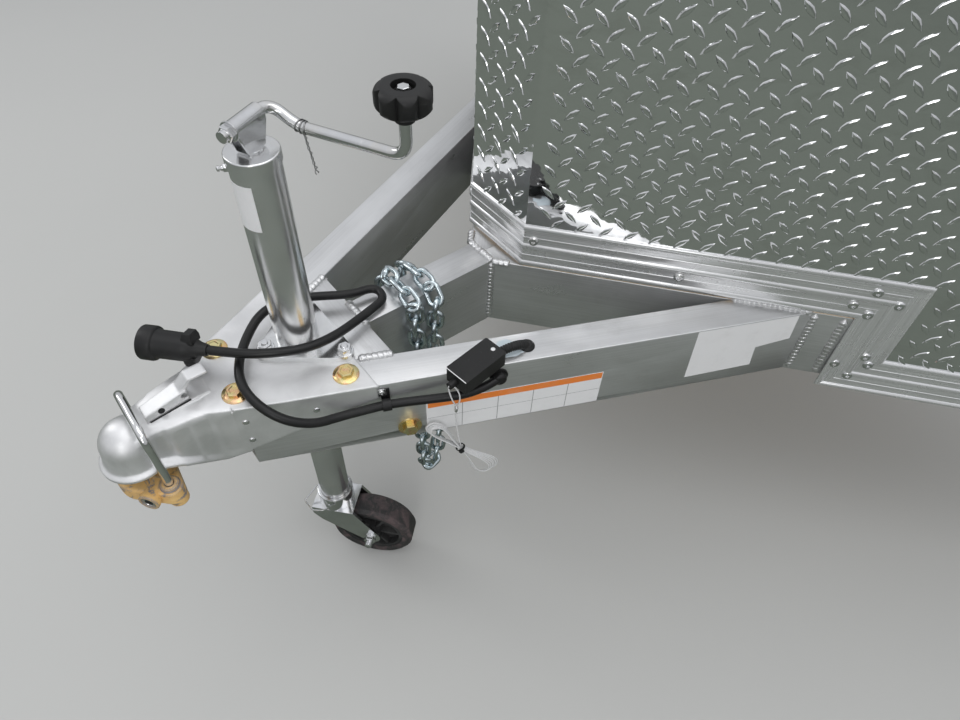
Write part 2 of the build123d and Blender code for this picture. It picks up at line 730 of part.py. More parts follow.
def crank_knob():
    """The seven-lobed knob on the handle's upturned end, with rounded lobes and a neck."""
    plan = Circle(KNOB_RING_R)
    for i in range(KNOB_LOBES):
        turn = 360 / KNOB_LOBES * i
        plan += Rot(0, 0, turn) * Pos(KNOB_RING_R, 0) * Circle(KNOB_LOBE_R)
    lobed = Pos(0, 0, KNOB_NECK_H) * extrude(plan, amount=KNOB_H - KNOB_NECK_H)
    reach = KNOB_RING_R + KNOB_LOBE_R
    puck = Pos(0, 0, KNOB_NECK_H) * Cylinder(reach, KNOB_H - KNOB_NECK_H, align=UPWARD)
    knob = lobed & fillet(puck.edges().filter_by(GeomType.CIRCLE), KNOB_ROUND)
    knob += Cylinder(KNOB_NECK_R, KNOB_NECK_H + KNOB_ROUND, align=UPWARD)
    knob -= Pos(0, 0, KNOB_H - KNOB_CUP_DEEP) * Cylinder(KNOB_CUP_R, 2 * KNOB_CUP_DEEP, align=UPWARD)
    knob += Pos(0, 0, KNOB_H - KNOB_CUP_DEEP) * Cylinder(KNOB_BOLT_R, KNOB_CUP_DEEP * 0.6, align=UPWARD)
    return CRANK * Pos(ARM_REACH, ARM_SIDE, SLEEVE_Z + KNOB_LIFT) * knob


keep("crank_head", crank_head())
keep("crank_handle", crank_handle())
keep("crank_knob", crank_knob())

# Caster: trailing, across, up
CASTER = Pos(JACK_X, 0, TOP) * Rot(0, 0, CASTER_YAW)
AXLE_AT = Pos(CASTER_OFFSET, 0, -AXLE_DROP) * Rot(90, 0, 0)
fork_top = LEG_LOW


def caster_yoke():
    """The folded fork with its cup round the jack's leg."""
    cup = Cylinder(CUP_R, CUP_H) - Cylinder(LEG_R + JACK_FIT, CUP_H)
    body = Pos(0, 0, fork_top + CUP_H / 2) * cup
    top_plate = Box(2 * PLATE_HALF, 2 * (FORK_HALF_IN + FORK_T), FORK_T)
    body += Pos(0, 0, fork_top - FORK_T / 2) * top_plate
    axle = (CASTER_OFFSET, -AXLE_DROP)
    cheek_edges = Polyline(
        (-PLATE_HALF, fork_top), (PLATE_HALF, fork_top), (PLATE_HALF, fork_top - CHEEK_DEEP),
        (-PLATE_HALF * 0.6, fork_top - 2 * CHEEK_DEEP), (-PLATE_HALF, fork_top - CHEEK_DEEP), close=True,
    ).edges()
    cheek_edges += (Pos(*axle) * Circle(FORK_EYE_R)).edges()
    cheek = make_hull(cheek_edges)
    for side in (-1, 1):
        y = side * (FORK_HALF_IN + FORK_T / 2)
        plane = Plane(origin=(0, y, 0), x_dir=(1, 0, 0), z_dir=(0, -1, 0))
        body += extrude(plane * cheek, amount=FORK_T / 2, both=True)
    body -= AXLE_AT * Cylinder(AXLE_R + AXLE_FIT, 4 * FORK_HALF_IN)
    return CASTER * body


def caster_axle():
    """The axle bolt with its head and nut."""
    outer = FORK_HALF_IN + FORK_T
    bolt = Cylinder(AXLE_R, 2 * (outer + AXLE_SPARE))
    hexagon = extrude(RegularPolygon(AXLE_HEX_R, 6), amount=AXLE_HEX_T / 2, both=True)
    for side in (-1, 1):
        bolt += Pos(0, 0, side * (outer + AXLE_HEX_T / 2 + AXLE_FIT)) * hexagon
    return CASTER * AXLE_AT * bolt


def caster_wheel():
    """The wheel's tread ring and its hub."""
    bevel = WHEEL_BEVEL
    section = Polyline(
        (HUB_R, -WHEEL_HALF + 2), (WHEEL_R - bevel, -WHEEL_HALF), (WHEEL_R, -WHEEL_HALF + bevel),
        (WHEEL_R, WHEEL_HALF - bevel), (WHEEL_R - bevel, WHEEL_HALF), (HUB_R, WHEEL_HALF - 2), close=True,
    )
    ring = revolve(Plane.XZ * make_face(section), axis=Axis.Z)
    rim_half = WHEEL_HALF - 3
    hub = Cylinder(HUB_R, 2 * rim_half) - Cylinder(HUB_R - HUB_RIM_T, 2 * rim_half)
    hub += Cylinder(HUB_R - HUB_RIM_T / 2, HUB_WEB_T) + Cylinder(HUB_BOSS_R, 2 * FORK_HALF_IN - 2)
    spoke_in, spoke_out = HUB_BOSS_R - 2, HUB_R - HUB_RIM_T / 2
    spoke = Box(spoke_out - spoke_in, HUB_SPOKE_T, 2 * rim_half - 6)
    for i in range(HUB_SPOKES):
        hub += Rot(0, 0, 360 / HUB_SPOKES * i) * Pos((spoke_in + spoke_out) / 2, 0, 0) * spoke
    hub -= Cylinder(AXLE_R + HUB_FIT, 6 * FORK_HALF_IN)
    return CASTER * AXLE_AT * ring, CASTER * AXLE_AT * hub


keep("caster_yoke", caster_yoke())
keep("caster_axle", caster_axle())
tread, hub = caster_wheel()
keep("wheel_tread", tread)
keep("wheel_hub", hub)

# Safety chains: one bar-section link at each pitch along a hand-chosen drape
CHAIN_LEFT = [
    (325.4, 73, -115.5), (339.4, 71, -135.5), (365.4, 66, -163.5), (395.4, 58, -199.5), (402.4, 54, -273.5),
    (405.4, 51, -363.5), (411.4, 48, -408.5), (425.4, 45, -425.5), (439.4, 43, -395.5), (443.4, 42, -263.5),
    (444.4, 42, -123.5), (444.4, 42, -33.5), (444.4, 42, 7.5), (444.4, 20, 18), (443.4, -12, 18),
    (443.4, -39, 12.5), (443.4, -43, -23.5), (443.4, -43, -83.5),
]
CHAIN_RIGHT = [
    (325.4, -73, -115.5), (339.4, -71, -135.5), (365.4, -66, -163.5), (395.4, -60, -199.5),
    (400.4, -58, -273.5), (401.4, -56, -343.5), (404.4, -54, -375.5), (413.4, -51, -389.5),
    (421.4, -47, -363.5), (418.4, -43, -263.5), (412.4, -42.5, -123.5), (410.4, -42.5, -33.5),
    (409.4, -42, 7.5), (408.4, -20, 18), (407.4, 12, 18), (407.4, 39, 12.5), (408.4, 43, -23.5),
    (411.4, 43, -103.5), (412.4, 43, -159.5),
]


def chain_stations(points):
    """Points one link apart along the drape, each with its direction."""
    path = Spline(*[ahead(*point) for point in points])
    step = LINK_PITCH - LINK_PLAY
    count = int(path.length / step)
    stations = []
    for i in range(count):
        a = path @ (i * step / path.length)
        b = path @ ((i + 1) * step / path.length)
        stations.append(((a + b) * 0.5, (b - a).normalized()))
    return stations


def link():
    """One welded link, of eight straight bars with a square section."""
    half = LINK_PITCH / 2 + LINK_WIRE / 2
    wide = LINK_HALF_W
    corner = wide * 0.55
    loop = [
        (half, -corner), (half, corner), (half - corner, wide), (corner - half, wide),
        (-half, corner), (-half, -corner), (corner - half, -wide), (half - corner, -wide),
    ]
    face = make_face(Polyline(*loop, close=True))
    outer = offset(face, amount=LINK_WIRE / 2, kind=Kind.INTERSECTION)
    inner = offset(face, amount=-LINK_WIRE / 2, kind=Kind.INTERSECTION)
    return extrude(outer - inner, amount=LINK_WIRE / 2, both=True)


def chain(points):
    """Links along a drape, each turned a quarter from the last."""
    links = []
    for i, (at, along) in enumerate(chain_stations(points)):
        side = Vector(0, 1, 0) if abs(along.Y) < 0.8 else Vector(1, 0, 0)
        normal = along.cross(side).normalized()
        turn = 45 if i % 2 == 0 else -45
        links.append(Plane(origin=at, x_dir=along, z_dir=normal) * Rot(turn, 0, 0) * link())
    return Compound(links)


keep("chain_left", chain(CHAIN_LEFT))
keep("chain_right", chain(CHAIN_RIGHT))


# Lead and plug
def cord_path(points, shortest=0.0):
    """Straight runs joined by arcs as large as their runs allow."""
    vectors = [Vector(*p) for p in points]
    radii = []
    for a, b, c in zip(vectors, vectors[1:], vectors[2:]):
        run_in, run_out = b - a, c - b
        turn = math.radians(run_in.get_angle(run_out))
        radius = 0.45 * min(run_in.length, run_out.length) / math.tan(turn / 2)
        radii.append(max(radius, shortest))
    return FilletPolyline(*points, radius=radii), radii


def cord_tube(name, points, radius):
    """A round cord along its route; prints its length and arc radii."""
    path, radii = cord_path(points)
    section = Plane(origin=path @ 0, z_dir=path % 0) * Circle(radius)
    tube = sweep(section, path=path)
    ratio = tube.volume / (math.pi * radius**2 * path.length)
    print(name, "length", round(path.length), "radii", [round(r) for r in radii], "volume", round(ratio, 4))
    return tube


CLIP_AT = beside(CLIP_BACK, CLIP_OUT, CLIP_UP)
# beside the rail from the gland to the clip and on; then over the coupler and back to the plug
LEAD_ROUTE = [
    beside(437.4, 7.1, -20.3), beside(415.4, 16.5, -22.5), beside(383.4, 21.9, -25.5),
    beside(349.4, 16.2, -29.5), beside(321.4, 12.8, -30.5), CLIP_AT, beside(267.4, 13.4, -31.5),
    beside(235.4, 16.4, -32.5), beside(198.2, 32.2, -20.7),
    ahead(166.8, 105.7, -2.9), ahead(147.9, 76.5, 13.1), ahead(144.2, 39.6, 20.2), ahead(158.4, 4.8, 21.5),
    ahead(186.6, -30.1, 20.7), ahead(219.1, -51.7, 28.6), ahead(257.4, -57, 26.5), ahead(295.4, -42, 24.5),
    ahead(341.4, -21, 17.5), ahead(381.4, -18, 13.5), ahead(379.4, 11, 13.5), ahead(349.4, 20, 15.5),
    ahead(315.4, 32, 20.5), ahead(279.4, 43, 26.5), ahead(239.4, 47, 33.5), ahead(201.4, 34, 37.5),
    ahead(163.4, 10, 38.5), ahead(133.4, -21, 38.5),
]
keep("lead", cord_tube("lead", LEAD_ROUTE, LEAD_R))
plug_start = Vector(*LEAD_ROUTE[-1])
plug_dir = (plug_start - Vector(*LEAD_ROUTE[-2])).normalized()
PLUG = Plane(origin=plug_start, z_dir=plug_dir)


def plug():
    """The round trailer plug: boot, body, capped end and two finger wings."""
    shoulder, end = BOOT_LENGTH, BOOT_LENGTH + PLUG_LENGTH
    profile = [
        (0, 0), (LEAD_R + 2, 0), (PLUG_BODY_R - 3, shoulder - 6), (PLUG_BODY_R, shoulder + 4),
        (PLUG_BODY_R, end - 20), (PLUG_CAP_R, end - 17), (PLUG_CAP_R, end), (0, end),
    ]
    body = revolve(make_face(Polyline(*[(r, 0, z) for r, z in profile], close=True)), axis=Axis.Z)
    wing_low = shoulder - WING_T / 2
    wings = Pos(0, 0, wing_low) * Cylinder(PLUG_R, WING_T, align=UPWARD)
    wings &= Pos(0, 0, wing_low) * Box(WING_W, 2 * PLUG_R, WING_T, align=UPWARD)
    return PLUG * (body + wings)


keep("plug", plug())

RAIL_NORMAL = Vector(SIN_T, COS_T, 0)
RAIL_ALONG = Vector(COS_T, -SIN_T, 0)


def on_rail(back, up):
    """A point on the left rail's outer face."""
    return Vector(*beside(back, 0, up))


def lead_gland():
    """The domed rubber gland that the lead leaves the rail through."""
    at = Plane(origin=on_rail(ENTRY_BACK, ENTRY_UP), x_dir=RAIL_ALONG, z_dir=RAIL_NORMAL)
    flange = Cylinder(GLAND_R, GLAND_FLANGE, align=UPWARD)
    dome = Cylinder(GLAND_DOME_R, GLAND_H, align=UPWARD)
    return at * (flange + fillet(dome.edges().group_by(Axis.Z)[-1], GLAND_DOME_R / 2))


def lead_clip():
    """The strap that holds the lead on the rail: a ring with a screwed tab."""
    route = Vector(*CLIP_AT)
    off = (route - on_rail(CLIP_BACK, CLIP_UP)).dot(RAIL_NORMAL)
    at = Plane(origin=route, x_dir=(0, 0, 1), z_dir=RAIL_ALONG)
    ring = Cylinder(LEAD_R + CLIP_FIT + CLIP_T, CLIP_W) - Cylinder(LEAD_R + CLIP_FIT, CLIP_W)
    rise = LEAD_R + CLIP_T + CLIP_TAB
    inward = -1 if at.y_dir.dot(RAIL_NORMAL) > 0 else 1
    tab = Pos(rise / 2 + 2, inward * (off - SEAT_GAP - CLIP_T / 2), 0) * Box(rise, CLIP_T, CLIP_W)
    return at * (ring + tab)


keep("lead_gland", lead_gland())
keep("lead_clip", lead_clip())

# Breakaway switch with its loom, and the lanyard
SWITCH = Pos(*beside(SWITCH_BACK, SWITCH_OUT, SEAT_GAP)) * Rot(0, 0, SWITCH_YAW)
switch_length, switch_width, switch_height = SWITCH_SIZE
switch_box = Box(*SWITCH_SIZE, align=UPWARD)
keep("switch_box", SWITCH * fillet(switch_box.edges().filter_by(Axis.Z), SWITCH_ROUND))
switch_front = SWITCH * Pos(switch_length / 2 + SEAT_GAP, 0, switch_height / 2) * Rot(0, 90, 0)
keep("switch_pin", switch_front * Cylinder(PIN_R, PIN_LENGTH, align=UPWARD))


def behind_switch(gap):
    """A point behind the middle of the switch's rear end."""
    at = (SWITCH * Pos(-switch_length / 2 - gap, 0, switch_height / 2)).position
    return (at.X, at.Y, at.Z)


LOOM_ROUTE = [
    behind_switch(SEAT_GAP), behind_switch(2 * LOOM_R), beside(482.4, -27.6, 23.5),
    beside(497.4, -27.3, 18.5), beside(497.4, -27.3, SEAT_GAP),
]
keep("switch_loom", cord_tube("loom", LOOM_ROUTE, LOOM_R))

pin_tip = (switch_front * Pos(0, 0, PIN_LENGTH)).position
LANYARD_ROUTE = [
    (pin_tip.X, pin_tip.Y, pin_tip.Z), beside(365.4, 25.0, 7.5), beside(372.0, 32.0, -4.0),
    beside(374.0, 31.5, -26.0), beside(374.0, 23.0, -47.8), beside(376.9, 15.4, -72.3),
    beside(379.5, 11.5, -95.0), beside(382.5, 11.0, -125.0), beside(386.9, 11.0, -163.7),
]
keep("lanyard", cord_tube("lanyard", LANYARD_ROUTE, CABLE_R))


def hank():
    """The lanyard's spare length, tied as a figure eight: two flat lobes."""
    tie = Vector(*LANYARD_ROUTE[-1]) - Vector(0, 0, HANK_T / 2)
    at = Plane(origin=tie, x_dir=RAIL_ALONG, z_dir=RAIL_NORMAL) * Rot(0, 0, -HANK_TILT)
    plan = Circle(HANK_T / 2)
    # reach from the tie along the hank, half width at the middle of the lobe
    for reach, half in ((84.0, 9.0), (-98.0, 19.0)):
        middle = Pos(reach * 0.6, 0) * Circle(half)
        tip = Pos(reach * 0.92 - math.copysign(half * 0.3, reach), 0) * Circle(half * 0.6)
        plan += make_hull([*Circle(HANK_T / 2).edges(), *middle.edges(), *tip.edges()])
    return at * extrude(plan, amount=HANK_T / 2, both=True)


keep("lanyard_hank", hank())


def chain_bolt():
    """The bolt through the left rail that holds a chain's first link."""
    at = Plane(origin=on_rail(CHAIN_BOLT_BACK, CHAIN_BOLT_UP), x_dir=RAIL_ALONG, z_dir=-RAIL_NORMAL)
    length = TUBE_W + CHAIN_BOLT_IN
    shank = Cylinder(CHAIN_BOLT_R, length, align=UPWARD)
    washer = Cylinder(WASHER_R, WASHER_T, align=(Align.CENTER, Align.CENTER, Align.MAX))
    hexagon = extrude(RegularPolygon(BOLT_HEX_R, 6), amount=BOLT_HEX_T)
    head = Pos(0, 0, -WASHER_T - BOLT_HEX_T) * hexagon
    return at * (shank + washer + head + Pos(0, 0, length - BOLT_HEX_T) * hexagon)


bolt = keep("chain_bolt_left", chain_bolt())
keep("chain_bolt_right", mirrored(bolt))

bolt_at = Plane(origin=on_rail(CHAIN_BOLT_BACK, CHAIN_BOLT_UP), z_dir=RAIL_NORMAL)
hole = bolt_at * Cylinder(CHAIN_BOLT_R + SEAT_GAP, 3 * TUBE_W)
rail_left = keep("rail_left", rail_left - hole)
keep("rail_right", mirrored(rail_left))

for name, shape in PARTS.items():
    export_step(shape, "parts/" + name + ".step")
print(len(PARTS), "nodes")
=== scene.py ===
"""Finishes, welds, cords and small fittings for the front end of an enclosed car trailer."""

import json
import random
from math import ceil, cos, floor, pi, radians, sin

import bmesh
import bpy
import numpy as np
from bpy.props import FloatProperty, FloatVectorProperty, IntProperty, PointerProperty
from mathutils import Matrix, Vector


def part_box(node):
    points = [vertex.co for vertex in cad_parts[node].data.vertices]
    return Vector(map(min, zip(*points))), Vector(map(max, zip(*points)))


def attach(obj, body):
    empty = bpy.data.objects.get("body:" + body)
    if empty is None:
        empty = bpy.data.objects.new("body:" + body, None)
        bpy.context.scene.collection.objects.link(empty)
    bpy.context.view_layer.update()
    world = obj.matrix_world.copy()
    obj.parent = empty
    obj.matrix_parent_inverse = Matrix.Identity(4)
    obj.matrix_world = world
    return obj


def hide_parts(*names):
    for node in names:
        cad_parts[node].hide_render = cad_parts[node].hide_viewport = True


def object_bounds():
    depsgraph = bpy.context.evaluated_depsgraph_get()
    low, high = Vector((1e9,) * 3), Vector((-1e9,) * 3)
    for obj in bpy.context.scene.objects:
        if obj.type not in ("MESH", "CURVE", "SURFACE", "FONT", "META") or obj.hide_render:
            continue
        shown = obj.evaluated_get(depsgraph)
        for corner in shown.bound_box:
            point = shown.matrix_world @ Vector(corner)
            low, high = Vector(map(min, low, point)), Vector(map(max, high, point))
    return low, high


bl_info = {
    "name": "Trailer Front Dressing",
    "version": (1, 0, 0),
    "blender": (4, 5, 0),
    "location": "3D View > Sidebar > Trailer",
    "description": "Finishes, welds, cords and fittings for an enclosed trailer's front end",
    "category": "Object",
}

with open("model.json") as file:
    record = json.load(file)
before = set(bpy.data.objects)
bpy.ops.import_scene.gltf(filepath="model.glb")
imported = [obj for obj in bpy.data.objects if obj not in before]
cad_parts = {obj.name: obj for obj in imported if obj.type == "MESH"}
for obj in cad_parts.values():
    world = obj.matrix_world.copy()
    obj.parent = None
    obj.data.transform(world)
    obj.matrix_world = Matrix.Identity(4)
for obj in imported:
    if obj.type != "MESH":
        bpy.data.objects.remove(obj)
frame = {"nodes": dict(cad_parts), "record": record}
CAD_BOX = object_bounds()
SLOT_OF = {part["node"]: part["material_slot"] for part in frame["record"]["subparts"]}
SLOTS = set(SLOT_OF.values())
BALL, = (Vector(mount["pos_m"]) for mount in frame["record"]["mounts"] if mount["name"] == "ball_socket")

MM = 0.001
TUBE_W = 50.8 * MM
TONGUE, NOSE = 24.2, 49.5  # degrees from straight ahead to a rail and to a V wall
COS_T, SIN_T = cos(radians(TONGUE)), sin(radians(TONGUE))
COS_V, SIN_V = cos(radians(NOSE)), sin(radians(NOSE))
UP = Vector((0, 0, 1))
HERE = Matrix.Identity(4)
MIRROR = Matrix.Scale(-1, 4, (0, 1, 0))

RAIL_LOW, RAIL_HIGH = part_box("rail_left")
BOTTOM, TOP = RAIL_LOW.z, RAIL_HIGH.z
RAIL_FRONT_Y = RAIL_LOW.y + TUBE_W / COS_T
FLAT_X, REAR_Y, WALL_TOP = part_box("wall_left")[1]
FOLD_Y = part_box("wall_front")[1].y
BAND_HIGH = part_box("trim_band_left")[1].z
SILL_LOW, SILL_HIGH = (corner.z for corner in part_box("trim_sill_left"))
TOP_TRIM_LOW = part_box("trim_top_left")[0].z
JACK_X = (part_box("jack_leg")[0].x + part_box("jack_leg")[1].x) / 2
SKIN_FACE = 2.0 * MM
TRIM_VALLEY = 3.6 * MM
DROP_ALONG = 492.1 * MM
TRIM_W = 76 * MM


# Places
def shift(x, y, z):
    """A move by distances in mm."""
    return Matrix.Translation(Vector((x, y, z)) * MM)


def spin(angle, axis="Z"):
    """A turn by an angle in radians."""
    return Matrix.Rotation(angle, 4, axis)


def place(origin, x_axis, z_axis):
    """A frame at origin whose Z is z_axis and whose X lies nearest x_axis."""
    z = Vector(z_axis).normalized()
    x = Vector(x_axis)
    x = (x - z * x.dot(z)).normalized()
    made = Matrix((x, z.cross(x), z)).transposed().to_4x4()
    made.translation = Vector(origin)
    return made


V_RUN = Vector((-COS_V, SIN_V, 0))
V_OUT = Vector((SIN_V, COS_V, 0))
RAIL_RUN = Vector((-COS_T, SIN_T, 0))
RAIL_OUT = Vector((SIN_T, COS_T, 0))
V_FACE = place((FLAT_X, FOLD_Y, 0), V_RUN, V_OUT)
FLAT_FACE = place((FLAT_X, 0, 0), (0, 1, 0), (1, 0, 0))
V_LENGTH = (REAR_Y - FOLD_Y) / SIN_V
JACK = place((JACK_X, 0, TOP), (1, 0, 0), UP)
CRANK = JACK @ spin(radians(117))
CASTER = JACK @ spin(radians(132))


def rail_point(x, z):
    """A point on the left rail's outer face, given by its X and height."""
    return Vector((x, RAIL_FRONT_Y + (RAIL_HIGH.x - x) * SIN_T / COS_T, z))


RAIL_FACE = place(rail_point(BALL.x, 0), RAIL_RUN, RAIL_OUT)


def ahead(back, y, up):
    """A point by its distance behind the ball, its side and its height over the rails, in mm."""
    return Vector((BALL.x - back * MM, y * MM, TOP + up * MM))


def beside(back, out, up):
    """A point beside the left rail, in mm, its side measured from the rail's outer face."""
    return rail_point(BALL.x - back * MM, TOP + up * MM) + Vector((0, out * MM, 0))


def along_rail(x):
    """Distance in mm along the left rail's face, from the ball back to an X in mm."""
    return (BALL.x / MM - x) / COS_T


COUPLER = Matrix.Translation(ahead(0, 0, 0))
SWITCH = Matrix.Translation(beside(408.4, 4.7, 0.3)) @ spin(radians(7.7))


# Meshes
class Build:
    """Corners and faces gathered for one joined mesh, in mm unless another unit is given."""

    def __init__(self, unit=MM):
        self.unit = unit
        self.corners = []
        self.faces = []

    def add(self, where, corners, faces):
        """Corners and faces in a place's own frame."""
        start = len(self.corners)
        self.corners += [where @ (Vector(c) * self.unit) for c in corners]
        step = -1 if where.determinant() < 0 else 1
        self.faces += [[start + i for i in face][::step] for face in faces]

    def rings(self, where, rings, closed=False):
        """Faces between rings of equally many corners, each turning the same way; open rows get end caps."""
        count, rows = len(rings[0]), len(rings)
        faces = []
        for r in range(rows if closed else rows - 1):
            a, b = r * count, (r + 1) % rows * count
            faces += [[a + i, a + (i + 1) % count, b + (i + 1) % count, b + i] for i in range(count)]
        if not closed:
            faces.append(list(range(count))[::-1])
            faces.append([(rows - 1) * count + i for i in range(count)])
        self.add(where, [c for ring in rings for c in ring], faces)

    def turned(self, where, profile, sides=32, squash=1.0):
        """A profile of (radius, height), from low to high, turned round Z."""
        self.rings(where, [[(x, y * squash, height) for x, y in circle(max(radius, 0.001), steps=sides)]
                           for radius, height in profile])

    def collar(self, where, profile, sides=32, squash=1.0):
        """A closed profile of (radius, height) turned round Z, open in its middle."""
        self.rings(where, [[(r * x, r * y * squash, z) for r, z in profile] for x, y in circle(1, steps=sides)],
                   closed=True)

    def prism(self, where, outline, low, high):
        """A plan outline, counter-clockwise, raised from low to high."""
        self.rings(where, [[(x, y, z) for x, y in outline] for z in (low, high)])

    def tube(self, where, path, radius, sides=10, closed=False):
        """A round bar along a path of points, its radius a number or a function of the point's index."""
        points = [Vector(p) for p in path]
        count = len(points)
        rings = []
        side = None
        for i, at in enumerate(points):
            before = points[i - 1] if (i or closed) else at
            after = points[(i + 1) % count] if (i < count - 1 or closed) else at
            along = (after - before).normalized()
            if side is None:
                side = along.orthogonal().normalized()
            side = (side - along * side.dot(along)).normalized()
            other = along.cross(side)
            wide = radius(i) if callable(radius) else radius
            rings.append([at + side * x + other * y for x, y in circle(wide, steps=sides)])
        self.rings(where, rings, closed=closed)

    def finish(self, name, look, body="frame", slot=None, angle=35, replaces=(), soften=0.0):
        """The gathered mesh as one object on a body, in its look's finish."""
        mesh = bpy.data.meshes.new(name)
        mesh.from_pydata([tuple(c) for c in self.corners], [], self.faces)
        mesh.polygons.foreach_set("use_smooth", [True] * len(mesh.polygons))
        mesh.set_sharp_from_angle(angle=radians(angle))
        mesh.materials.append(finish_of(look))
        thing = add_object(name, mesh)
        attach(thing, body)
        if soften:
            soften_edges(thing, soften, 4, 40)
        slot = look if slot is None else slot
        slot in SLOTS
        if replaces:
            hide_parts(*replaces)
        return thing


def add_object(name, data):
    """A new object in the scene."""
    thing = bpy.data.objects.new(name, data)
    bpy.context.scene.collection.objects.link(thing)
    return thing


def soften_edges(thing, width, segments, angle):
    """Round the edges that are sharper than an angle in degrees."""
    bevel = thing.modifiers.new("edges", "BEVEL")
    bevel.width = width
    bevel.segments = segments
    bevel.limit_method = "ANGLE"
    bevel.angle_limit = radians(angle)
    bevel.harden_normals = True


def half_round(radius, height):
    """Profile of a low dome of a radius and a height."""
    return [(radius * cos(pi / 10 * i), height * sin(pi / 10 * i)) for i in range(6)]


def circle(radius, x=0.0, y=0.0, steps=40):
    """Points round a circle."""
    angles = [2 * pi * i / steps for i in range(steps)]
    return [(x + radius * cos(a), y + radius * sin(a)) for a in angles]


def box_outline(x0, z0, x1, z1):
    """The four corners of a box between two, counter-clockwise from the first."""
    return [(x0, z0), (x1, z0), (x1, z1), (x0, z1)]


def hull(points):
    """The counter-clockwise outline round a set of plan points."""
    points = sorted(set((round(x, 4), round(y, 4)) for x, y in points))
    halves = []
    for row in (points, points[::-1]):
        half = []
        for p in row:
            while len(half) > 1 and ((half[-1][0] - half[-2][0]) * (p[1] - half[-2][1])
                                     - (half[-1][1] - half[-2][1]) * (p[0] - half[-2][0])) <= 0:
                half.pop()
            half.append(p)
        halves += half[:-1]
    return halves


def bent_bar(corners, reaches):
    """Points of a bar bent at its inner corners, each bend reaching that far along both sides."""
    corners = [Vector(corner) for corner in corners]
    points = corners[:1]
    for before, at, after, reach in zip(corners, corners[1:], corners[2:], reaches):
        start = at + (before - at).normalized() * reach
        end = at + (after - at).normalized() * reach
        for t in (i / 8 for i in range(9)):
            points.append(start * (1 - t) ** 2 + at * (2 * t * (1 - t)) + end * t ** 2)
    return points + corners[-1:]


def hex_rings(across, steps):
    """Rings of a hexagon by its width across flats, each scaled and at a height."""
    outline = circle(across / 2 / cos(pi / 6), steps=6)
    return [[(x * scale, y * scale, z) for x, y in outline] for scale, z in steps]


def hex_head(build, where, across, height):
    """A hexagon head with a small chamfer round its top."""
    build.rings(where, hex_rings(across, ((1.0, 0), (1.0, height * 0.82), (0.9, height))))


# Shader values and finishes
class Reading:
    """One shader value. Arithmetic on it adds Math nodes to its finish."""

    def __init__(self, finish, socket):
        self.finish = finish
        self.socket = socket

    def join(self, operation, *values):
        return self.finish.node("Math", {"operation": operation}, dict(enumerate(values)))

    def __add__(self, other):
        return self.join("ADD", self, other)

    def __sub__(self, other):
        return self.join("SUBTRACT", self, other)

    def __rsub__(self, other):
        return self.join("SUBTRACT", other, self)

    def __mul__(self, other):
        return self.join("MULTIPLY", self, other)

    __radd__ = __add__
    __rmul__ = __mul__


class Finish:
    """A node material with one main shader and the readings that feed it."""

    def __init__(self, name, heading=0.0, **fixed):
        self.heading = heading
        self.material = bpy.data.materials.new(name)
        self.material.use_nodes = True
        self.tree = self.material.node_tree
        self.tree.nodes.clear()
        self.output = self.tree.nodes.new("ShaderNodeOutputMaterial")
        self.shader = self.tree.nodes.new("ShaderNodeBsdfPrincipled")
        self.tree.links.new(self.shader.outputs[0], self.output.inputs[0])
        for socket, value in fixed.items():
            self.shader.inputs[socket.replace("_", " ")].default_value = value

    def node(self, kind, settings=None, sockets=None, output=0):
        """One node, by its type, its settings and its sockets' values or links."""
        made = self.tree.nodes.new("ShaderNode" + kind)
        for key, value in (settings or {}).items():
            setattr(made, key, value)
        for key, value in (sockets or {}).items():
            self.feed(made.inputs[key], value)
        return Reading(self, made.outputs[output])

    def feed(self, socket, value):
        """Link a reading to a socket, or set the socket's own value."""
        if isinstance(value, Reading):
            self.tree.links.new(value.socket, socket)
        else:
            socket.default_value = value

    def set(self, **sockets):
        """Feed the main shader's sockets."""
        for name, value in sockets.items():
            self.feed(self.shader.inputs[name.replace("_", " ")], value)
        return self.material

    def noise(self, stretch, scale, detail=3.0, rough=0.5, distortion=0.0, turn=0.0):
        """Cloudy noise from 0 to 1 over the part's frame, turned to the heading and then stretched."""
        at = self.node("TexCoord", output=3)
        turned = self.node("Mapping", {"vector_type": "POINT"},
                           {"Vector": at, "Rotation": (0, 0, -radians(self.heading + turn))})
        return self.node("TexNoise", {}, {
            "Vector": self.node("VectorMath", {"operation": "MULTIPLY"}, {0: turned, 1: stretch}),
            "Scale": scale, "Detail": detail, "Roughness": rough, "Distortion": distortion,
        })

    def between(self, value, low, high, to_low=0.0, to_high=1.0):
        """A value read from one range into another, held at its ends."""
        return self.node("MapRange", {"interpolation_type": "SMOOTHSTEP"}, {
            "Value": value, "From Min": low, "From Max": high, "To Min": to_low, "To Max": to_high,
        })

    def mix(self, factor, first, second):
        """A colour between two colours."""
        return self.node("Mix", {"data_type": "RGBA"}, {0: factor, 6: first, 7: second}, output=2)

    def rounded(self, radius):
        """Normals that round every edge to a radius."""
        return self.node("Bevel", {"samples": 4}, {"Radius": radius})

    def bump(self, height, distance, strength=1.0, over=None):
        """A normal from a height reading, in metres of distance."""
        sockets = {"Height": height, "Distance": distance, "Strength": strength}
        if over is not None:
            sockets["Normal"] = over
        return self.node("Bump", {}, sockets)


def grey(value, tint=(0, 0, 0)):
    """A grey colour with a small tint."""
    return (value + tint[0], value + tint[1], value + tint[2], 1)


EVEN = (1, 1, 1)


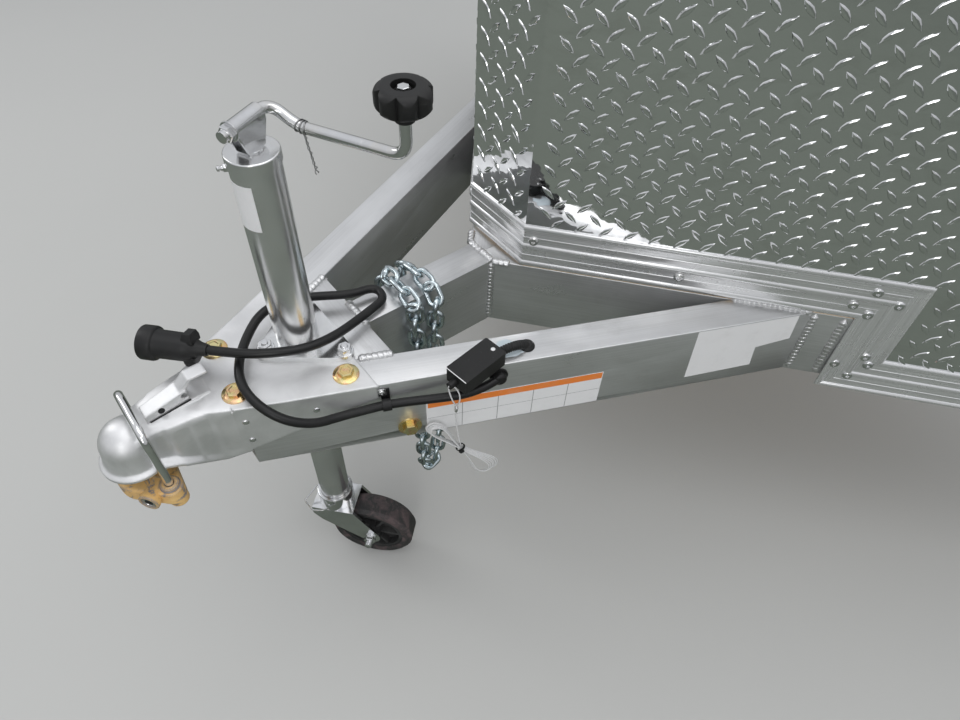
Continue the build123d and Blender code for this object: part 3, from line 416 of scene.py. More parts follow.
def mill_aluminium(name, heading):
    """Extruded tube as the mill leaves it: faint die lines, cloudy stains and fine scratches."""
    f = Finish(name, heading, Metallic=0.82)
    lines = f.noise((2.5, 420, 420), 1.0, 4, 0.65)
    cloud = f.noise((1.4, 3, 3), 4.0, 5, 0.6, 0.4)
    grain = f.noise((60, 260, 260), 3.0, 2, 0.7)
    scratch = f.between(f.noise((14, 900, 900), 1.0, 2, turn=3), 0.66, 0.7)
    stain = f.between(f.noise((5, 9, 9), 2.2, 6, 0.7), 0.56, 0.72)
    shade = f.between(cloud * 0.6 + lines * 0.4, 0.3, 0.7)
    colour = f.mix(shade, grey(0.60), grey(0.74, (0, 0.004, 0.008)))
    colour = f.mix(stain * 0.35, colour, grey(0.5, (0.01, 0.005, 0)))
    rough = f.between(cloud + grain * 0.3, 0.4, 0.9, 0.27, 0.44) + stain * 0.08 + scratch * 0.1
    height = lines * 0.7 + grain * 0.3 - scratch * 0.5
    return f.set(Base_Color=colour, Roughness=rough, Normal=f.bump(height, 0.00018, 0.5))


def trim_aluminium(name, heading, upright=False):
    """Bright ribbed extrusion, with fine drawn lines along it."""
    f = Finish(name, heading, Metallic=0.72)
    stretch = (700, 700, 2) if upright else (2, 700, 700)
    lines = f.noise(stretch, 1.0, 3, 0.6)
    cloud = f.noise((4, 4, 4), 3.0, 4, 0.6)
    colour = f.mix(f.between(lines, 0.35, 0.65), grey(0.72), grey(0.86, (0, 0.002, 0.006)))
    rough = f.between(cloud, 0.3, 0.7, 0.18, 0.32) + f.between(lines, 0.5, 0.8) * 0.08
    return f.set(Base_Color=colour, Roughness=rough, Normal=f.bump(lines, 0.0001, 0.45))


def tread_plate(name):
    """Mirror tread plate with a faint rolled wave and finger smears."""
    f = Finish(name, Metallic=1.0)
    wave = f.noise((9, 9, 5), 1.0, 2, 0.4) * 0.6 + f.noise((28, 28, 28), 1.0, 2, 0.5) * 0.4
    smear = f.between(f.noise((7, 7, 16), 2.0, 5, 0.65, 0.6), 0.5, 0.75)
    fine = f.noise((40, 40, 900), 1.0, 2)
    colour = f.mix(smear, grey(0.84, (0, 0.004, 0.01)), grey(0.76))
    rough = 0.035 + smear * 0.1 + f.between(fine, 0.55, 0.8) * 0.05
    return f.set(Base_Color=colour, Roughness=rough, Normal=f.bump(wave, 0.004, 0.45))


def zinc(name, tone, rough_low, rough_high, tint=(0.0, 0.0, 0.0), yellow=0.0, edge=0.0, metal=1.0, wear=1.0):
    """Zinc plate: cloudy passivation, pale water marks and small scuffs."""
    f = Finish(name, Metallic=metal)
    over = f.rounded(edge) if edge else None
    cloud = f.noise(EVEN, 14.0, 5, 0.6, 0.5)
    fine = f.noise(EVEN, 180.0, 3, 0.6)
    mark = f.between(f.noise((1, 1, 0.45), 38.0, 6, 0.72, 0.8), 0.6, 0.74)
    colour = f.mix(f.between(cloud, 0.3, 0.7), grey(tone - 0.08, tint), grey(tone + 0.05, tint))
    colour = f.mix(mark * (0.4 * wear), colour, grey(tone + 0.12))
    if yellow:
        warm = f.between(f.noise(EVEN, 22.0, 4, 0.6, 1.0), 0.45, 0.7) * yellow
        colour = f.mix(warm, colour, (tone, tone * 0.86, tone * 0.58, 1))
    rough = f.between(cloud + fine * 0.4, 0.45, 0.95, rough_low, rough_high) + mark * (0.12 * wear)
    return f.set(Base_Color=colour, Roughness=rough, Normal=f.bump(fine, 0.00006 * wear, 0.5, over))


def gold_zinc(name):
    """Yellow chromate bolt, with rosy and green clouds."""
    f = Finish(name, Metallic=1.0)
    cloud = f.noise(EVEN, 60.0, 4, 0.6, 0.8)
    rosy = f.between(f.noise(EVEN, 95.0, 3), 0.48, 0.62)
    colour = f.mix(f.between(cloud, 0.35, 0.65), (0.83, 0.62, 0.27, 1), (0.72, 0.66, 0.36, 1))
    colour = f.mix(rosy * 0.6, colour, (0.82, 0.45, 0.30, 1))
    rough = f.between(cloud, 0.3, 0.7, 0.2, 0.38)
    return f.set(Base_Color=colour, Roughness=rough)


def lock_casting(name):
    """Yellow paint worn off the edges of a grey casting, with patches of grime."""
    f = Finish(name)
    soft = f.rounded(5.0 * MM)
    plain = f.node("NewGeometry", output=1)
    meeting = f.node("VectorMath", {"operation": "DOT_PRODUCT"}, {0: soft, 1: plain}, output=1)
    edge = f.between(meeting, 0.93, 1.0, 1.0, 0.0)
    patch = f.noise(EVEN, 34.0, 6, 0.68, 0.9)
    worn = f.between(patch + edge * 0.36, 0.575, 0.625)
    spot = f.between(f.noise(EVEN, 120.0, 4, 0.65), 0.60, 0.68)
    dirt = f.between(f.noise(EVEN, 20.0, 5, 0.6), 0.5, 0.75)
    paint = f.mix(f.between(patch, 0.3, 0.6), (0.84, 0.56, 0.22, 1), (0.74, 0.46, 0.17, 1))
    paint = f.mix(dirt * 0.3, paint, (0.30, 0.21, 0.12, 1))
    colour = f.mix(worn, paint, (0.30, 0.29, 0.30, 1))
    colour = f.mix(spot * 0.6, colour, (0.25, 0.18, 0.14, 1))
    normal = f.bump(1 - spot * 0.5 - worn * 0.5, 0.0003, 0.8, f.rounded(2.5 * MM))
    rough = f.between(worn, 0, 1, 0.4, 0.55)
    return f.set(Base_Color=colour, Roughness=rough, Metallic=worn * 0.5, Normal=normal)


def black_moulding(name, tone, rough, grain_scale, dust, edge=1.2 * MM):
    """Black moulded plastic or rubber with a fine grain and a little dust."""
    f = Finish(name, Specular_IOR_Level=0.35)
    grain = f.noise(EVEN, grain_scale, 3, 0.6)
    cloud = f.noise(EVEN, 18.0, 5, 0.62, 0.4)
    dusty = f.between(cloud, 0.46, 0.76) * dust
    scuff = f.between(f.noise((1, 1, 3), 75.0, 4, 0.7, 0.6), 0.62, 0.7) * dust
    colour = f.mix(dusty, grey(tone), grey(tone + 0.04, (0.004, 0.003, 0.0)))
    colour = f.mix(scuff * 0.5, colour, grey(tone + 0.08))
    roughness = f.between(cloud, 0.3, 0.7, rough - 0.06, rough + 0.1) + dusty * 0.25
    normal = f.bump(grain, 0.00012, 0.55, f.rounded(edge) if edge else None)
    return f.set(Base_Color=colour, Roughness=roughness, Normal=normal)


def scuffed_tread(name):
    """Hard rubber rolling surface, scuffed brown and grey."""
    f = Finish(name, Specular_IOR_Level=0.35)
    scuff = f.between(f.noise(EVEN, 38.0, 6, 0.7, 0.8), 0.42, 0.68)
    spot = f.noise(EVEN, 240.0, 4, 0.7)
    colour = f.mix(scuff, grey(0.035), (0.115, 0.085, 0.085, 1))
    colour = f.mix(f.between(spot, 0.55, 0.75) * 0.4, colour, (0.2, 0.17, 0.15, 1))
    return f.set(Base_Color=colour, Roughness=f.between(scuff, 0, 1, 0.55, 0.8),
                 Normal=f.bump(spot * 0.6 + scuff * 0.4, 0.0005, 0.6))


def cable_finish(name):
    """Clear plastic over a fine twisted steel strand."""
    f = Finish(name, Roughness=0.32, Coat_Roughness=0.12)
    fine = f.noise(EVEN, 900.0, 2)
    colour = f.mix(f.between(fine, 0.35, 0.65), grey(0.84), grey(0.66))
    return f.set(Base_Color=colour, Coat_Weight=0.5, Normal=f.bump(fine, 0.0002, 0.5))


def plywood(name, tone=1.0):
    """Plain plywood: long grain, darker late wood and fine pores."""
    f = Finish(name, Roughness=0.62)
    grain = f.noise((1.6, 34, 34), 1.0, 6, 0.62, 1.6)
    pores = f.noise((30, 700, 700), 1.0, 3, 0.7)
    colour = f.mix(f.between(grain, 0.3, 0.7), (0.60 * tone, 0.43 * tone, 0.26 * tone, 1),
                   (0.74 * tone, 0.58 * tone, 0.39 * tone, 1))
    colour = f.mix(f.between(pores, 0.6, 0.75) * 0.4, colour, (0.34 * tone, 0.22 * tone, 0.12 * tone, 1))
    return f.set(Base_Color=colour, Normal=f.bump(pores * 0.5 + grain * 0.5, 0.0003, 0.5))


def label_paper(name, base):
    """Blank vinyl label, a little dusty, with a soft sheen."""
    f = Finish(name)
    dust = f.between(f.noise(EVEN, 30.0, 5, 0.65), 0.45, 0.8)
    colour = f.mix(dust * 0.25, base, grey(0.52, (0.01, 0.005, -0.01)))
    return f.set(Base_Color=colour, Roughness=f.between(dust, 0, 1, 0.36, 0.52))


FINISHES = {}


def finish_of(look, heading=0.0, upright=False):
    """The material of a look; brushed ones have one for each heading."""
    name = look
    if look in ("tube_aluminium", "trim_aluminium"):
        name = f"{look}_{'up' if upright else round(heading % 360)}"
    if name not in FINISHES:
        blue, greenish = (0.0, 0.004, 0.012), (0.0, 0.004, 0.006)
        makers = {
            "tube_aluminium": lambda: mill_aluminium(name, heading),
            "trim_aluminium": lambda: trim_aluminium(name, heading, upright),
            "tread_plate": lambda: tread_plate(name),
            "zinc_stamping": lambda: zinc(name, 0.80, 0.38, 0.52, edge=4.0 * MM, metal=0.78),
            "zinc_bright": lambda: zinc(name, 0.76, 0.10, 0.2, blue, yellow=0.12, edge=1.0 * MM),
            "chain_zinc": lambda: zinc(name, 0.66, 0.12, 0.24, (-0.05, 0.02, 0.045)),
            "weld_aluminium": lambda: zinc(name, 0.70, 0.22, 0.4, metal=0.85),
            "bolt_gold": lambda: gold_zinc(name),
            "lock_casting": lambda: lock_casting(name),
            "zinc_tube": lambda: zinc(name, 0.76, 0.17, 0.24, greenish, yellow=0.06, metal=0.92, wear=0.15),
            "wire_dark": lambda: zinc(name, 0.34, 0.3, 0.45),
            "lock_chrome": lambda: zinc(name, 0.80, 0.05, 0.12),
            "black_plastic": lambda: black_moulding(name, 0.012, 0.42, 520.0, 0.3),
            "black_rubber": lambda: black_moulding(name, 0.010, 0.36, 300.0, 0.2, edge=0.0),
            "wheel_tread": lambda: scuffed_tread(name),
            "wheel_hub": lambda: black_moulding(name, 0.03, 0.55, 200.0, 0.9),
            "sealant": lambda: label_paper(name, (0.60, 0.68, 0.72, 1)),
            "cable_white": lambda: cable_finish(name),
            "ply": lambda: plywood(name),
            "wall_panel": lambda: plywood(name, 1.12),
            "label_white": lambda: label_paper(name, grey(0.82)),
            "label_orange": lambda: label_paper(name, (0.85, 0.23, 0.03, 1)),
            "label_line": lambda: label_paper(name, grey(0.28)),
        }
        FINISHES[name] = makers[look]()
    return FINISHES[name]


# User sizes
def length(name, text, default):
    """A length property in metres."""
    return FloatProperty(name=name, description=text, default=default, min=0.0,
                         subtype="DISTANCE", unit="LENGTH")


def bearing(name, text, default):
    """An angle property: its default is given in degrees and kept in radians."""
    return FloatProperty(name=name, description=text, default=radians(default),
                         subtype="ANGLE", unit="ROTATION")


def colour(name, text, default):
    """A colour property."""
    return FloatVectorProperty(name=name, description=text, default=default, subtype="COLOR")


def number(name, text, default, least):
    """A whole-number property."""
    return IntProperty(name=name, description=text, default=default, min=least)


class WeldSizes(bpy.types.PropertyGroup):
    """Sizes of the frame's weld beads."""

    width: length("Bead width", "Width of a weld bead", 0.0125)
    pitch: length("Ripple pitch", "Distance from one ripple to the next", 0.0075)
    height: length("Bead height", "How far a bead stands out of its corner", 0.0055)


class NoseSizes(bpy.types.PropertyGroup):
    """Sizes of the nose's lugs and screws."""

    lug_length: length("Lug length", "Length of a raised lug", 0.0275)
    lug_width: length("Lug width", "Width of a raised lug", 0.0088)
    lug_height: length("Lug height", "How far a lug stands proud", 0.0017)
    cell_along: length("Lug spacing along", "Distance between like lugs along a row", 0.0353)
    cell_up: length("Lug spacing up", "Distance between rows of like lugs", 0.0344)
    screw_radius: length("Screw radius", "Radius of a screw's head", 0.0080)


class CordSizes(bpy.types.PropertyGroup):
    """Sizes of the lead, the chains and the lanyard."""

    lead_diameter: length("Lead diameter", "Outer diameter of the lead", 0.0127)
    cable_diameter: length("Cable diameter", "Outer diameter of the lanyard's cable", 0.002)
    hank_turns: number("Hank turns", "Turns of the lanyard's spare length", 6, 2)
    link_sides: number("Wire sides", "Sides of a chain link's wire", 10, 6)


class FittingSizes(bpy.types.PropertyGroup):
    """Sizes of the bolts and labels."""

    flange_radius: length("Flange radius", "Radius of a coupler bolt's flange", 0.0175)
    bolt_across: length("Bolt width", "Width across flats of a coupler bolt", 0.0195)
    label_thickness: length("Label thickness", "How far a label stands off the rail", 0.0003)


class StageLook(bpy.types.PropertyGroup):
    """The floor, the light and the camera."""

    camera_at: FloatVectorProperty(name="Camera", description="Where the camera stands",
                                   default=(1.6184, 0.6462, 0.7892), subtype="XYZ", unit="LENGTH")
    camera_heading: bearing("Heading", "Heading of the view", 230.0)
    camera_pitch: bearing("Pitch", "Tilt of the view below level", 49.66)
    camera_roll: bearing("Roll", "Roll of the camera", 2.77)
    lens: FloatProperty(name="Lens", description="Focal length", default=26.27, unit="CAMERA")
    floor_colour: colour("Floor", "Colour of the floor", (0.56, 0.56, 0.54))
    floor_mirrored: colour("Mirrored floor", "Colour of the floor in bright metal", (0.16, 0.18, 0.15))


# Bodies of the operators, each for one group of pieces
GRAIN_HEADING = {
    "rail_left": 180 - TONGUE, "rail_right": TONGUE - 180,
    "v_tube_left": 180 - NOSE, "v_tube_right": NOSE - 180,
    **dict.fromkeys(("cross_member", "rear_cross_tube", "floor_joists"), 90),
    **dict.fromkeys(("trim_band_front", "trim_top_front"), 90),
}
SATIN_NODES = ("jack_tube", "jack_leg", "jack_cap")
EDGE_ROUND = {
    "tube_aluminium": 1.6 * MM, "trim_aluminium": 0.75 * MM, "ply": 1.5 * MM, "wall_panel": 1.5 * MM,
}


def node_heading(node):
    """Which way the drawn lines of an extrusion run."""
    if node in GRAIN_HEADING:
        return GRAIN_HEADING[node]
    if node.startswith("trim"):
        return 180 - NOSE if node.endswith("left") else NOSE - 180
    return 0.0


def dress_nodes():
    """Every CAD node gets its finish, smooth shading and softened edges."""
    for node, thing in frame["nodes"].items():
        slot = SLOT_OF[node]
        material = finish_of("zinc_tube" if node in SATIN_NODES else slot, node_heading(node), "drop" in node)
        thing.data.materials.clear()
        thing.data.materials.append(material)
        thing.data.polygons.foreach_set("material_index", [0] * len(thing.data.polygons))
        thing.data.polygons.foreach_set("use_smooth", [True] * len(thing.data.polygons))
        weld = thing.modifiers.new("merge", "WELD")
        weld.merge_threshold = 1e-6
        if EDGE_ROUND.get(slot):
            soften_edges(thing, EDGE_ROUND[slot], 3, 30)
        else:
            parted = thing.modifiers.new("sharp", "EDGE_SPLIT")
            parted.split_angle = radians(31)


def bead(build, start, end, out, sizes, draw):
    """A weld bead of overlapping ripples from start to end, bulging along out."""
    run = end - start
    along = run.normalized()
    side = out.cross(along).normalized()
    out = along.cross(side)
    steps, sides = max(8, int(run.length / sizes.pitch * 9)), 12
    phase = draw.random()
    rings = []
    for i in range(steps + 1):
        t = i / steps
        s = t * run.length
        tail = min(1.0, sin(pi * min(1.0, 12 * min(t, 1 - t)) / 2) + 0.15)
        wander = sin(s * 210 + phase * 9) * 0.06
        ring = []
        for k in range(sides):
            angle = pi * (k / (sides - 1) * 1.2 - 0.1)
            ripple = (s / sizes.pitch + phase + 0.42 * sin(angle)) % 1.0
            swell = 1.0 - 0.22 * (ripple ** 2) + wander
            wide = sizes.width / 2 * tail * swell * cos(angle)
            high = sizes.height * tail * (swell * sin(angle))
            ring.append(start + along * s + side * wide + out * high)
        rings.append(ring)
    build.rings(HERE, rings)


def weld_frame(sizes):
    """Beads where the tongue's tubes meet each other and the nose."""
    draw = random.Random(4)
    build = Build(1)
    centre = TUBE_W / 2
    cross_low, cross_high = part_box("cross_member")
    nose_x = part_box("rail_centre")[0].x
    low = BOTTOM + 4 * MM

    def weld(start, end, out):
        bead(build, start, end, out, sizes, draw)

    def rail_inside(x, z):
        return rail_point(x, z) - Vector((0, TUBE_W / COS_T, 0))

    # Each rail against the V tube: across its top, and up its outer and inner sides
    top_out, top_in = Vector((0.7695, 0.3925, TOP)), Vector((0.8475, 0.3015, TOP))
    side_x, side_y, by_trim = 0.7655, 0.3965, 0.4826
    inside = top_in + Vector((0, -0.001, -0.002))
    seams = [
        (top_in, top_out, V_OUT + UP),
        (Vector((side_x, side_y, TOP - 2 * MM)), Vector((side_x, side_y, low)), V_OUT + RAIL_OUT),
        (inside, Vector((inside.x, inside.y, low)), V_OUT - RAIL_OUT),
        # a second upright bead on the V tube, beside the trim
        (V_FACE @ Vector((by_trim, TOP - 3 * MM, 0)), V_FACE @ Vector((by_trim, low, 0)), V_OUT),
        # the cross member against the rail, across its top and down its sides
        (rail_inside(cross_high.x - 6 * MM, TOP), rail_inside(cross_low.x, TOP), UP),
    ]
    for x, out in ((cross_low.x, -1), (cross_high.x, 1)):
        ends = (rail_inside(x, TOP - 2 * MM), rail_inside(x, cross_low.z + 2 * MM))
        seams.append((*ends, Vector((out, 0, 0)) - RAIL_OUT))
    for a, b, out in seams:
        weld(a, b, out)
    for a, b, out in seams:
        weld(MIRROR @ b, MIRROR @ a, MIRROR @ out)
    # Centre rail against the V tubes and the cross member
    reach = centre + 2 * MM
    for y in (-1, 1):
        corner = Vector((nose_x, y * reach, TOP))
        weld(Vector((nose_x, 0, TOP)), corner, Vector((0.4, 0, 1)))
        weld(corner, corner + Vector((-0.018, y * 0.021, 0)), Vector((0.5, y * 0.4, 1)))
        for x, foot, out in ((nose_x, low, 1), (cross_low.x, cross_low.z + 3 * MM, -1)):
            weld(Vector((x, y * centre, TOP - 3 * MM)), Vector((x, y * centre, foot)), Vector((out, y, 0)))
    weld(Vector((cross_low.x, -reach, TOP)), Vector((cross_low.x, reach, TOP)), UP)
    build.finish("weld_beads", "weld_aluminium", slot="tube_aluminium", angle=60)


def lug_shape(sizes, slant):
    """Corners and faces of one raised lug, turned by slant."""
    turn = spin(slant)
    stations = (-1.0, -0.55, 0.0, 0.55, 1.0)

    def outline(scale, narrow, height):
        half, wide = sizes.lug_length / 2 * scale, sizes.lug_width / 2 * narrow
        upper = [(half * s, wide * (1 - abs(s) ** 1.7), height) for s in stations]
        lower = [(x, -y, z) for x, y, z in upper[1:-1]]
        return [turn @ Vector(p) for p in (*upper[::-1], *lower)]

    rings = (outline(1.0, 1.0, -0.15 * MM), outline(0.90, 0.78, sizes.lug_height * 0.62),
             outline(0.74, 0.36, sizes.lug_height))
    count = len(rings[0])
    faces = []
    for low in (0, count):
        faces += [[low + i, low + (i + 1) % count, low + count + (i + 1) % count, low + count + i]
                  for i in range(count)]
    faces.append([2 * count + i for i in range(count)])
    faces.append(list(range(count))[::-1])
    return [p for ring in rings for p in ring], faces


def dress_nose(sizes):
    """Raised lugs over the stone guard and the screws of its trims."""
    lugs = Build(1)
    shapes = [lug_shape(sizes, radians(slant)) for slant in (45, -45)]
    margin = 9 * MM
    drop_end = DROP_ALONG + TRIM_W
    first_along, first_up = 0.1494, 0.3937

    def between_trims(up, low):
        return low + margin / 2 < up < TOP_TRIM_LOW - margin / 2

    def wanted_v(along, up):
        low = BAND_HIGH if along < drop_end + margin else SILL_HIGH
        return margin < along < V_LENGTH - margin and between_trims(up, low)

    def wanted_flat(along, up):
        return abs(along) < FOLD_Y - margin / 2 and between_trims(up, BAND_HIGH)

    def rows(face, wanted, along_from, along_to):
        for kind, (corners, faces) in enumerate(shapes):
            columns = range(floor((along_from - first_along) / sizes.cell_along) - 1,
                            ceil((along_to - first_along) / sizes.cell_along) + 2)
            rows_up = range(floor((SILL_LOW - first_up) / sizes.cell_up),
                            ceil((WALL_TOP - first_up) / sizes.cell_up) + 1)
            for column in columns:
                for row in rows_up:
                    along = first_along + (column + kind / 2) * sizes.cell_along
                    up = first_up + (row + kind / 2) * sizes.cell_up
                    if wanted(along, up):
                        lugs.add(face @ Matrix.Translation((along, up, SKIN_FACE)), corners, faces)

    rows(V_FACE, wanted_v, 0, V_LENGTH)
    rows(MIRROR @ V_FACE, wanted_v, 0, V_LENGTH)
    rows(FLAT_FACE, wanted_flat, -FOLD_Y, FOLD_Y)
    lugs.finish("tread_lugs", "tread_plate", angle=26)

    # Pan-head screws: place along the face from the fold, and height
    screws = [
        (0.0135, 0.1175), (0.2321, 0.0928), (0.5006, 0.1216), (0.4790, 0.0928), (0.5055, 0.0786),
        (0.5368, 0.1043), (0.5384, -0.0059), (0.5022, -0.0299), (0.5494, -0.022), (0.5308, -0.0517),
    ]
    step = 0.30
    for first, up in ((0.86, (SILL_LOW + SILL_HIGH) / 2 - 12 * MM), (0.12, TOP_TRIM_LOW + 24 * MM)):
        screws += [(first + step * i, up) for i in range(ceil((V_LENGTH - first) / step))]
    build = Build()
    for side in (HERE, MIRROR):
        for at, up in screws:
            where = side @ V_FACE @ Matrix.Translation((at, up, TRIM_VALLEY))
            pan_head(build, where, sizes.screw_radius / MM, 3.4)
    build.finish("trim_screws", "zinc_bright", angle=40)


def flanged_bolt(build, where, flange, across, height):
    """A flanged hexagon bolt: dished flange, chamfered head and a shallow dish on top."""
    build.turned(where, [(flange, 0), (flange, 1.2), (flange * 0.95, 1.9), (across * 0.60, 3.2)], 40)
    build.rings(where, hex_rings(across, (
        (1.0, 2.0), (1.0, height - 1.1), (0.90, height), (0.66, height), (0.58, height - 0.9))))


def pan_head(build, where, radius, height):
    """A low round screw head with a recess for the driver."""
    profile = ((1, 0), (1, 0.22), (0.93, 0.55), (0.72, 0.9), (0.44, 1), (0.36, 0.94), (0.288, 0.3), (0, 0.25))
    build.turned(where, [(radius * r, height * z) for r, z in profile], 24)


def fit_coupler(sizes):
    """The coupler's bolts and rivets, black pieces painted in as shade at the latch, the jack's bolts, grease
    nipple and blank label.
    """
    gold = Build()
    # distance behind the ball, side and head's height
    for back, y, head in ((265.3, 92.1, 9.5), (265.3, -92.1, 9.5), (135.9, 36.0, 8.2), (146.0, -50.0, 8.2)):
        flanged_bolt(gold, COUPLER @ shift(-back, y, 5) @ spin(back * 0.37 + y),
                     sizes.flange_radius / MM, sizes.bolt_across / MM, head)
    gold.finish("coupler_bolts", "bolt_gold", angle=28)

    slot = Build()
    # a black strip painted in as the shade of the gap along the latch's near base, from above: distance behind
    # the ball, side and height on the pad
    shade_strip = [(-33, 14.5, 1.7), (-87, 15.4, 7.6), (-87, 13.1, 7.9), (-33, 13.1, 1.8)]
    slot.rings(COUPLER, [shade_strip, [(x, y, z + 0.5) for x, y, z in shade_strip]])
    # a black disc in the finger notch under the latch's tab: painted shade of its opening
    slot.turned(place(ahead(50.5, 11.85, 10.4), (1, 0, 0), (0, 12.3, 2.25)), [(4.1, -0.6), (4.1, 0.25)], 24)
    slot.finish("latch_painted_shade", "black_plastic", slot="", angle=30)

    build = Build()
    for x, y in ((45.0, -4.0), (-37.0, 63.0), (-37.0, -63.0)):
        at = JACK @ shift(x, y, 13) @ spin(x + y)
        build.turned(at, [(11.8, 0), (11.8, 1.6), (11.2, 2.0)], 32)
        hex_head(build, at @ shift(0, 0, 2), 17, 7.5)
        build.turned(at, [(4.8, 0), (4.8, 11.2), (4.0, 12.2)], 16)
    # x and height of a rivet on the flange's outer face
    for x, z in ((1432.8, 40.6), (1515.1, 40.3), (1515.0, 0.2)):
        for side in (HERE, MIRROR):
            build.turned(side @ RAIL_FACE @ shift(along_rail(x), z, 5.2), half_round(4.8, 2.4), 20)
    nipple = JACK @ spin(radians(-22)) @ shift(28.2, 0, 284) @ spin(pi / 2, "Y")
    hex_head(build, nipple, 8.5, 4.5)
    build.turned(nipple, [(3.3, 4), (3.3, 6), (2.2, 7), (2.4, 8), (3.3, 9.2), (3.0, 10.8), (1.2, 11.8)], 16)
    build.finish("coupler_fasteners", "zinc_bright", angle=32)

    label = Build()
    edges = box_outline(28.55, 273, 28.95, 214)
    turns = [radians(-10 + 61 * i / 12) for i in range(13)]
    label.rings(JACK, [[(r * cos(a), r * sin(a), z) for r, z in edges] for a in turns])
    label.finish("jack_label", "label_white", angle=30)


def label_plate(name, outline, look, high):
    """A blank label on the left rail: outline by X and height in mm, and how far it stands out."""
    build = Build()
    build.prism(RAIL_FACE, [(along_rail(x), z) for x, z in outline], 0.02, high)
    build.finish(name, look, angle=20)


def stick_labels(sizes):
    """Blank labels on the left rail: one with a plain header, one stepped."""
    thick = sizes.label_thickness / MM
    label_plate("rail_label", box_outline(1300, -60.8, 1061, 8.5), "label_white", thick)
    label_plate("rail_label_header", box_outline(1298, -5.5, 1062, 7.7), "label_orange", thick * 1.3)
    lines = Build()
    for rule in [(x, -60, x - 0.9, -5.5) for x in (1253, 1205, 1157, 1109)] + [(1298, -30.0, 1062, -29.4)]:
        lines.prism(RAIL_FACE, [(along_rail(x), z) for x, z in box_outline(*rule)], 0.02, thick * 1.25)
    lines.finish("rail_label_lines", "label_line", angle=20)
    stepped = [(932.7, -41.1), (832.7, -37.5), (837, 3.9), (787, 11.6), (790, 61.5), (937, 61.5)]
    label_plate("rail_label_stepped", stepped, "label_white", thick)


def fit_switch():
    """The switch's painted edge highlight and its rivet, its loom's ribs, grommet and sealant, and the lead's
    clip.
    """
    build = Build()
    # a white strip along the box's front top edge: a painted highlight of that edge
    build.prism(SWITCH @ shift(38, 0, 24), box_outline(-0.8, -18.4, 0.25, 18.4), -0.4, 0.25)
    build.turned(SWITCH @ shift(-29.2, 2.1, 23.9), half_round(3.2, 1.3), 16)
    build.finish("switch_edge_highlight_and_rivet", "label_white", angle=40)

    ribs = Build(1)
    # the loom's middle line, from the switch to the rail
    line = [beside(*at) for at in (
        (448.5, -13.0, 12.5), (455, -15.2, 13.2), (462, -17.0, 14.0), (469, -18.6, 14.2), (475.5, -20.4, 13.2),
        (481, -22.4, 11.0), (485.5, -24.6, 8.0), (489, -26.6, 4.6), (491, -27.6, 1.2))]
    fine = [a.lerp(b, t / 6) for a, b in zip(line, line[1:]) for t in range(6)] + [line[-1]]
    ribs.tube(HERE, fine, lambda i: (6.7 if i % 3 else 5.6) * MM, 20)
    ribs.finish("loom_ribs", "black_plastic", angle=60, replaces=("switch_loom",))
    grommet = Build()
    grommet.turned(Matrix.Translation(beside(493.0, -28.0, 0.05)),
                   [(11.4, 0), (11.4, 1.4), (10.6, 2.6), (8.8, 3.6), (7.6, 5.4), (6.6, 5.6)], 36)
    grommet.finish("loom_grommet", "black_rubber", angle=40)
    pool = Build()
    angles = [2 * pi * i / 32 for i in range(32)]
    for back, out, wide, deep, turn in ((471, -36, 16, 10, 2.5), (466, -19, 14, 7, 2.7), (480, -24, 9, 7, 2.4)):
        rims = [[(wide * scale * (1 + 0.14 * sin(3 * a + turn)) * cos(a),
                  deep * scale * (1 + 0.1 * sin(5 * a)) * sin(a), z) for a in angles]
                for scale, z in ((1.0, 0.0), (0.92, 0.5), (0.6, 0.9))]
        pool.rings(Matrix.Translation(beside(back, out, 0)) @ spin(turn), rims)
    pool.finish("loom_sealant", "sealant", angle=60)

    clip = Build()
    spot = RAIL_FACE @ shift(293.4 / COS_T, TOP / MM - 13.5, 1.85)
    clip.prism(spot, [(-6.2, -7), (6.2, -7), (6.2, 5), (4.2, 7), (-4.2, 7), (-6.2, 5)], 0, 0.9)
    pan_head(clip, spot @ shift(0, 1, 0.9), 4.4, 2.6)
    clip.finish("clip_tab", "zinc_bright", angle=32)


def fit_lock():
    """The lock's casting with its ears, barrel and key face."""
    back, half, high, low = 17.0, 47.5, -85.5, -121.0
    casting = Build()
    ears = circle(15.5, -back, half) + circle(15.5, -back, -half)
    casting.prism(COUPLER, hull(ears + circle(37)), low + 8, high)
    for side in (-1, 1):
        casting.prism(COUPLER @ shift(-back, side * half, 0), circle(13, -2, side * 3), low, low + 20)
    casting.finish("lock_body", "lock_casting", angle=30, replaces=("coupler_lock",), soften=5.5 * MM)
    collar = Build()
    for side in (-1, 1):
        collar.collar(COUPLER @ shift(-back, side * half, high), [
            (6.0, 5.0), (10.6, 5.0), (11.8, 4.2), (11.8, 2.0), (13.2, 1.2), (13.2, 0), (6.0, 0)], 36)
    face = Matrix.Translation(ahead(-16.2, 50.2, -95.0)) @ spin(radians(39)) @ spin(pi / 2, "Y")
    collar.turned(face, [
        (12.6, -34), (12.6, -9), (14, -6), (14, -1), (13.2, 0), (10.6, 0), (10.2, -0.6), (10, -2.2)], 40)
    collar.finish("lock_barrel", "lock_casting", angle=32)
    key = Build()
    sunk = face @ shift(0, 0, -2.2)
    key.turned(sunk, [(9.8, 0), (9.8, 0.7), (9.0, 1.1), (6.6, 1.1), (6.2, 0.6)], 32)
    key.finish("key_face", "lock_chrome", angle=32)
    # a black ring round the key plug and a black keyway bar: painted shade of the gap and of the key's opening
    slot = Build()
    slot.turned(sunk, [(5.8, 0.55), (5.6, 0.8)], 24)
    slot.prism(sunk, box_outline(-0.7, -3.8, 0.7, 3.8), 0.8, 1.0)
    slot.finish("keyway_painted_shade", "black_plastic", slot="", angle=32)


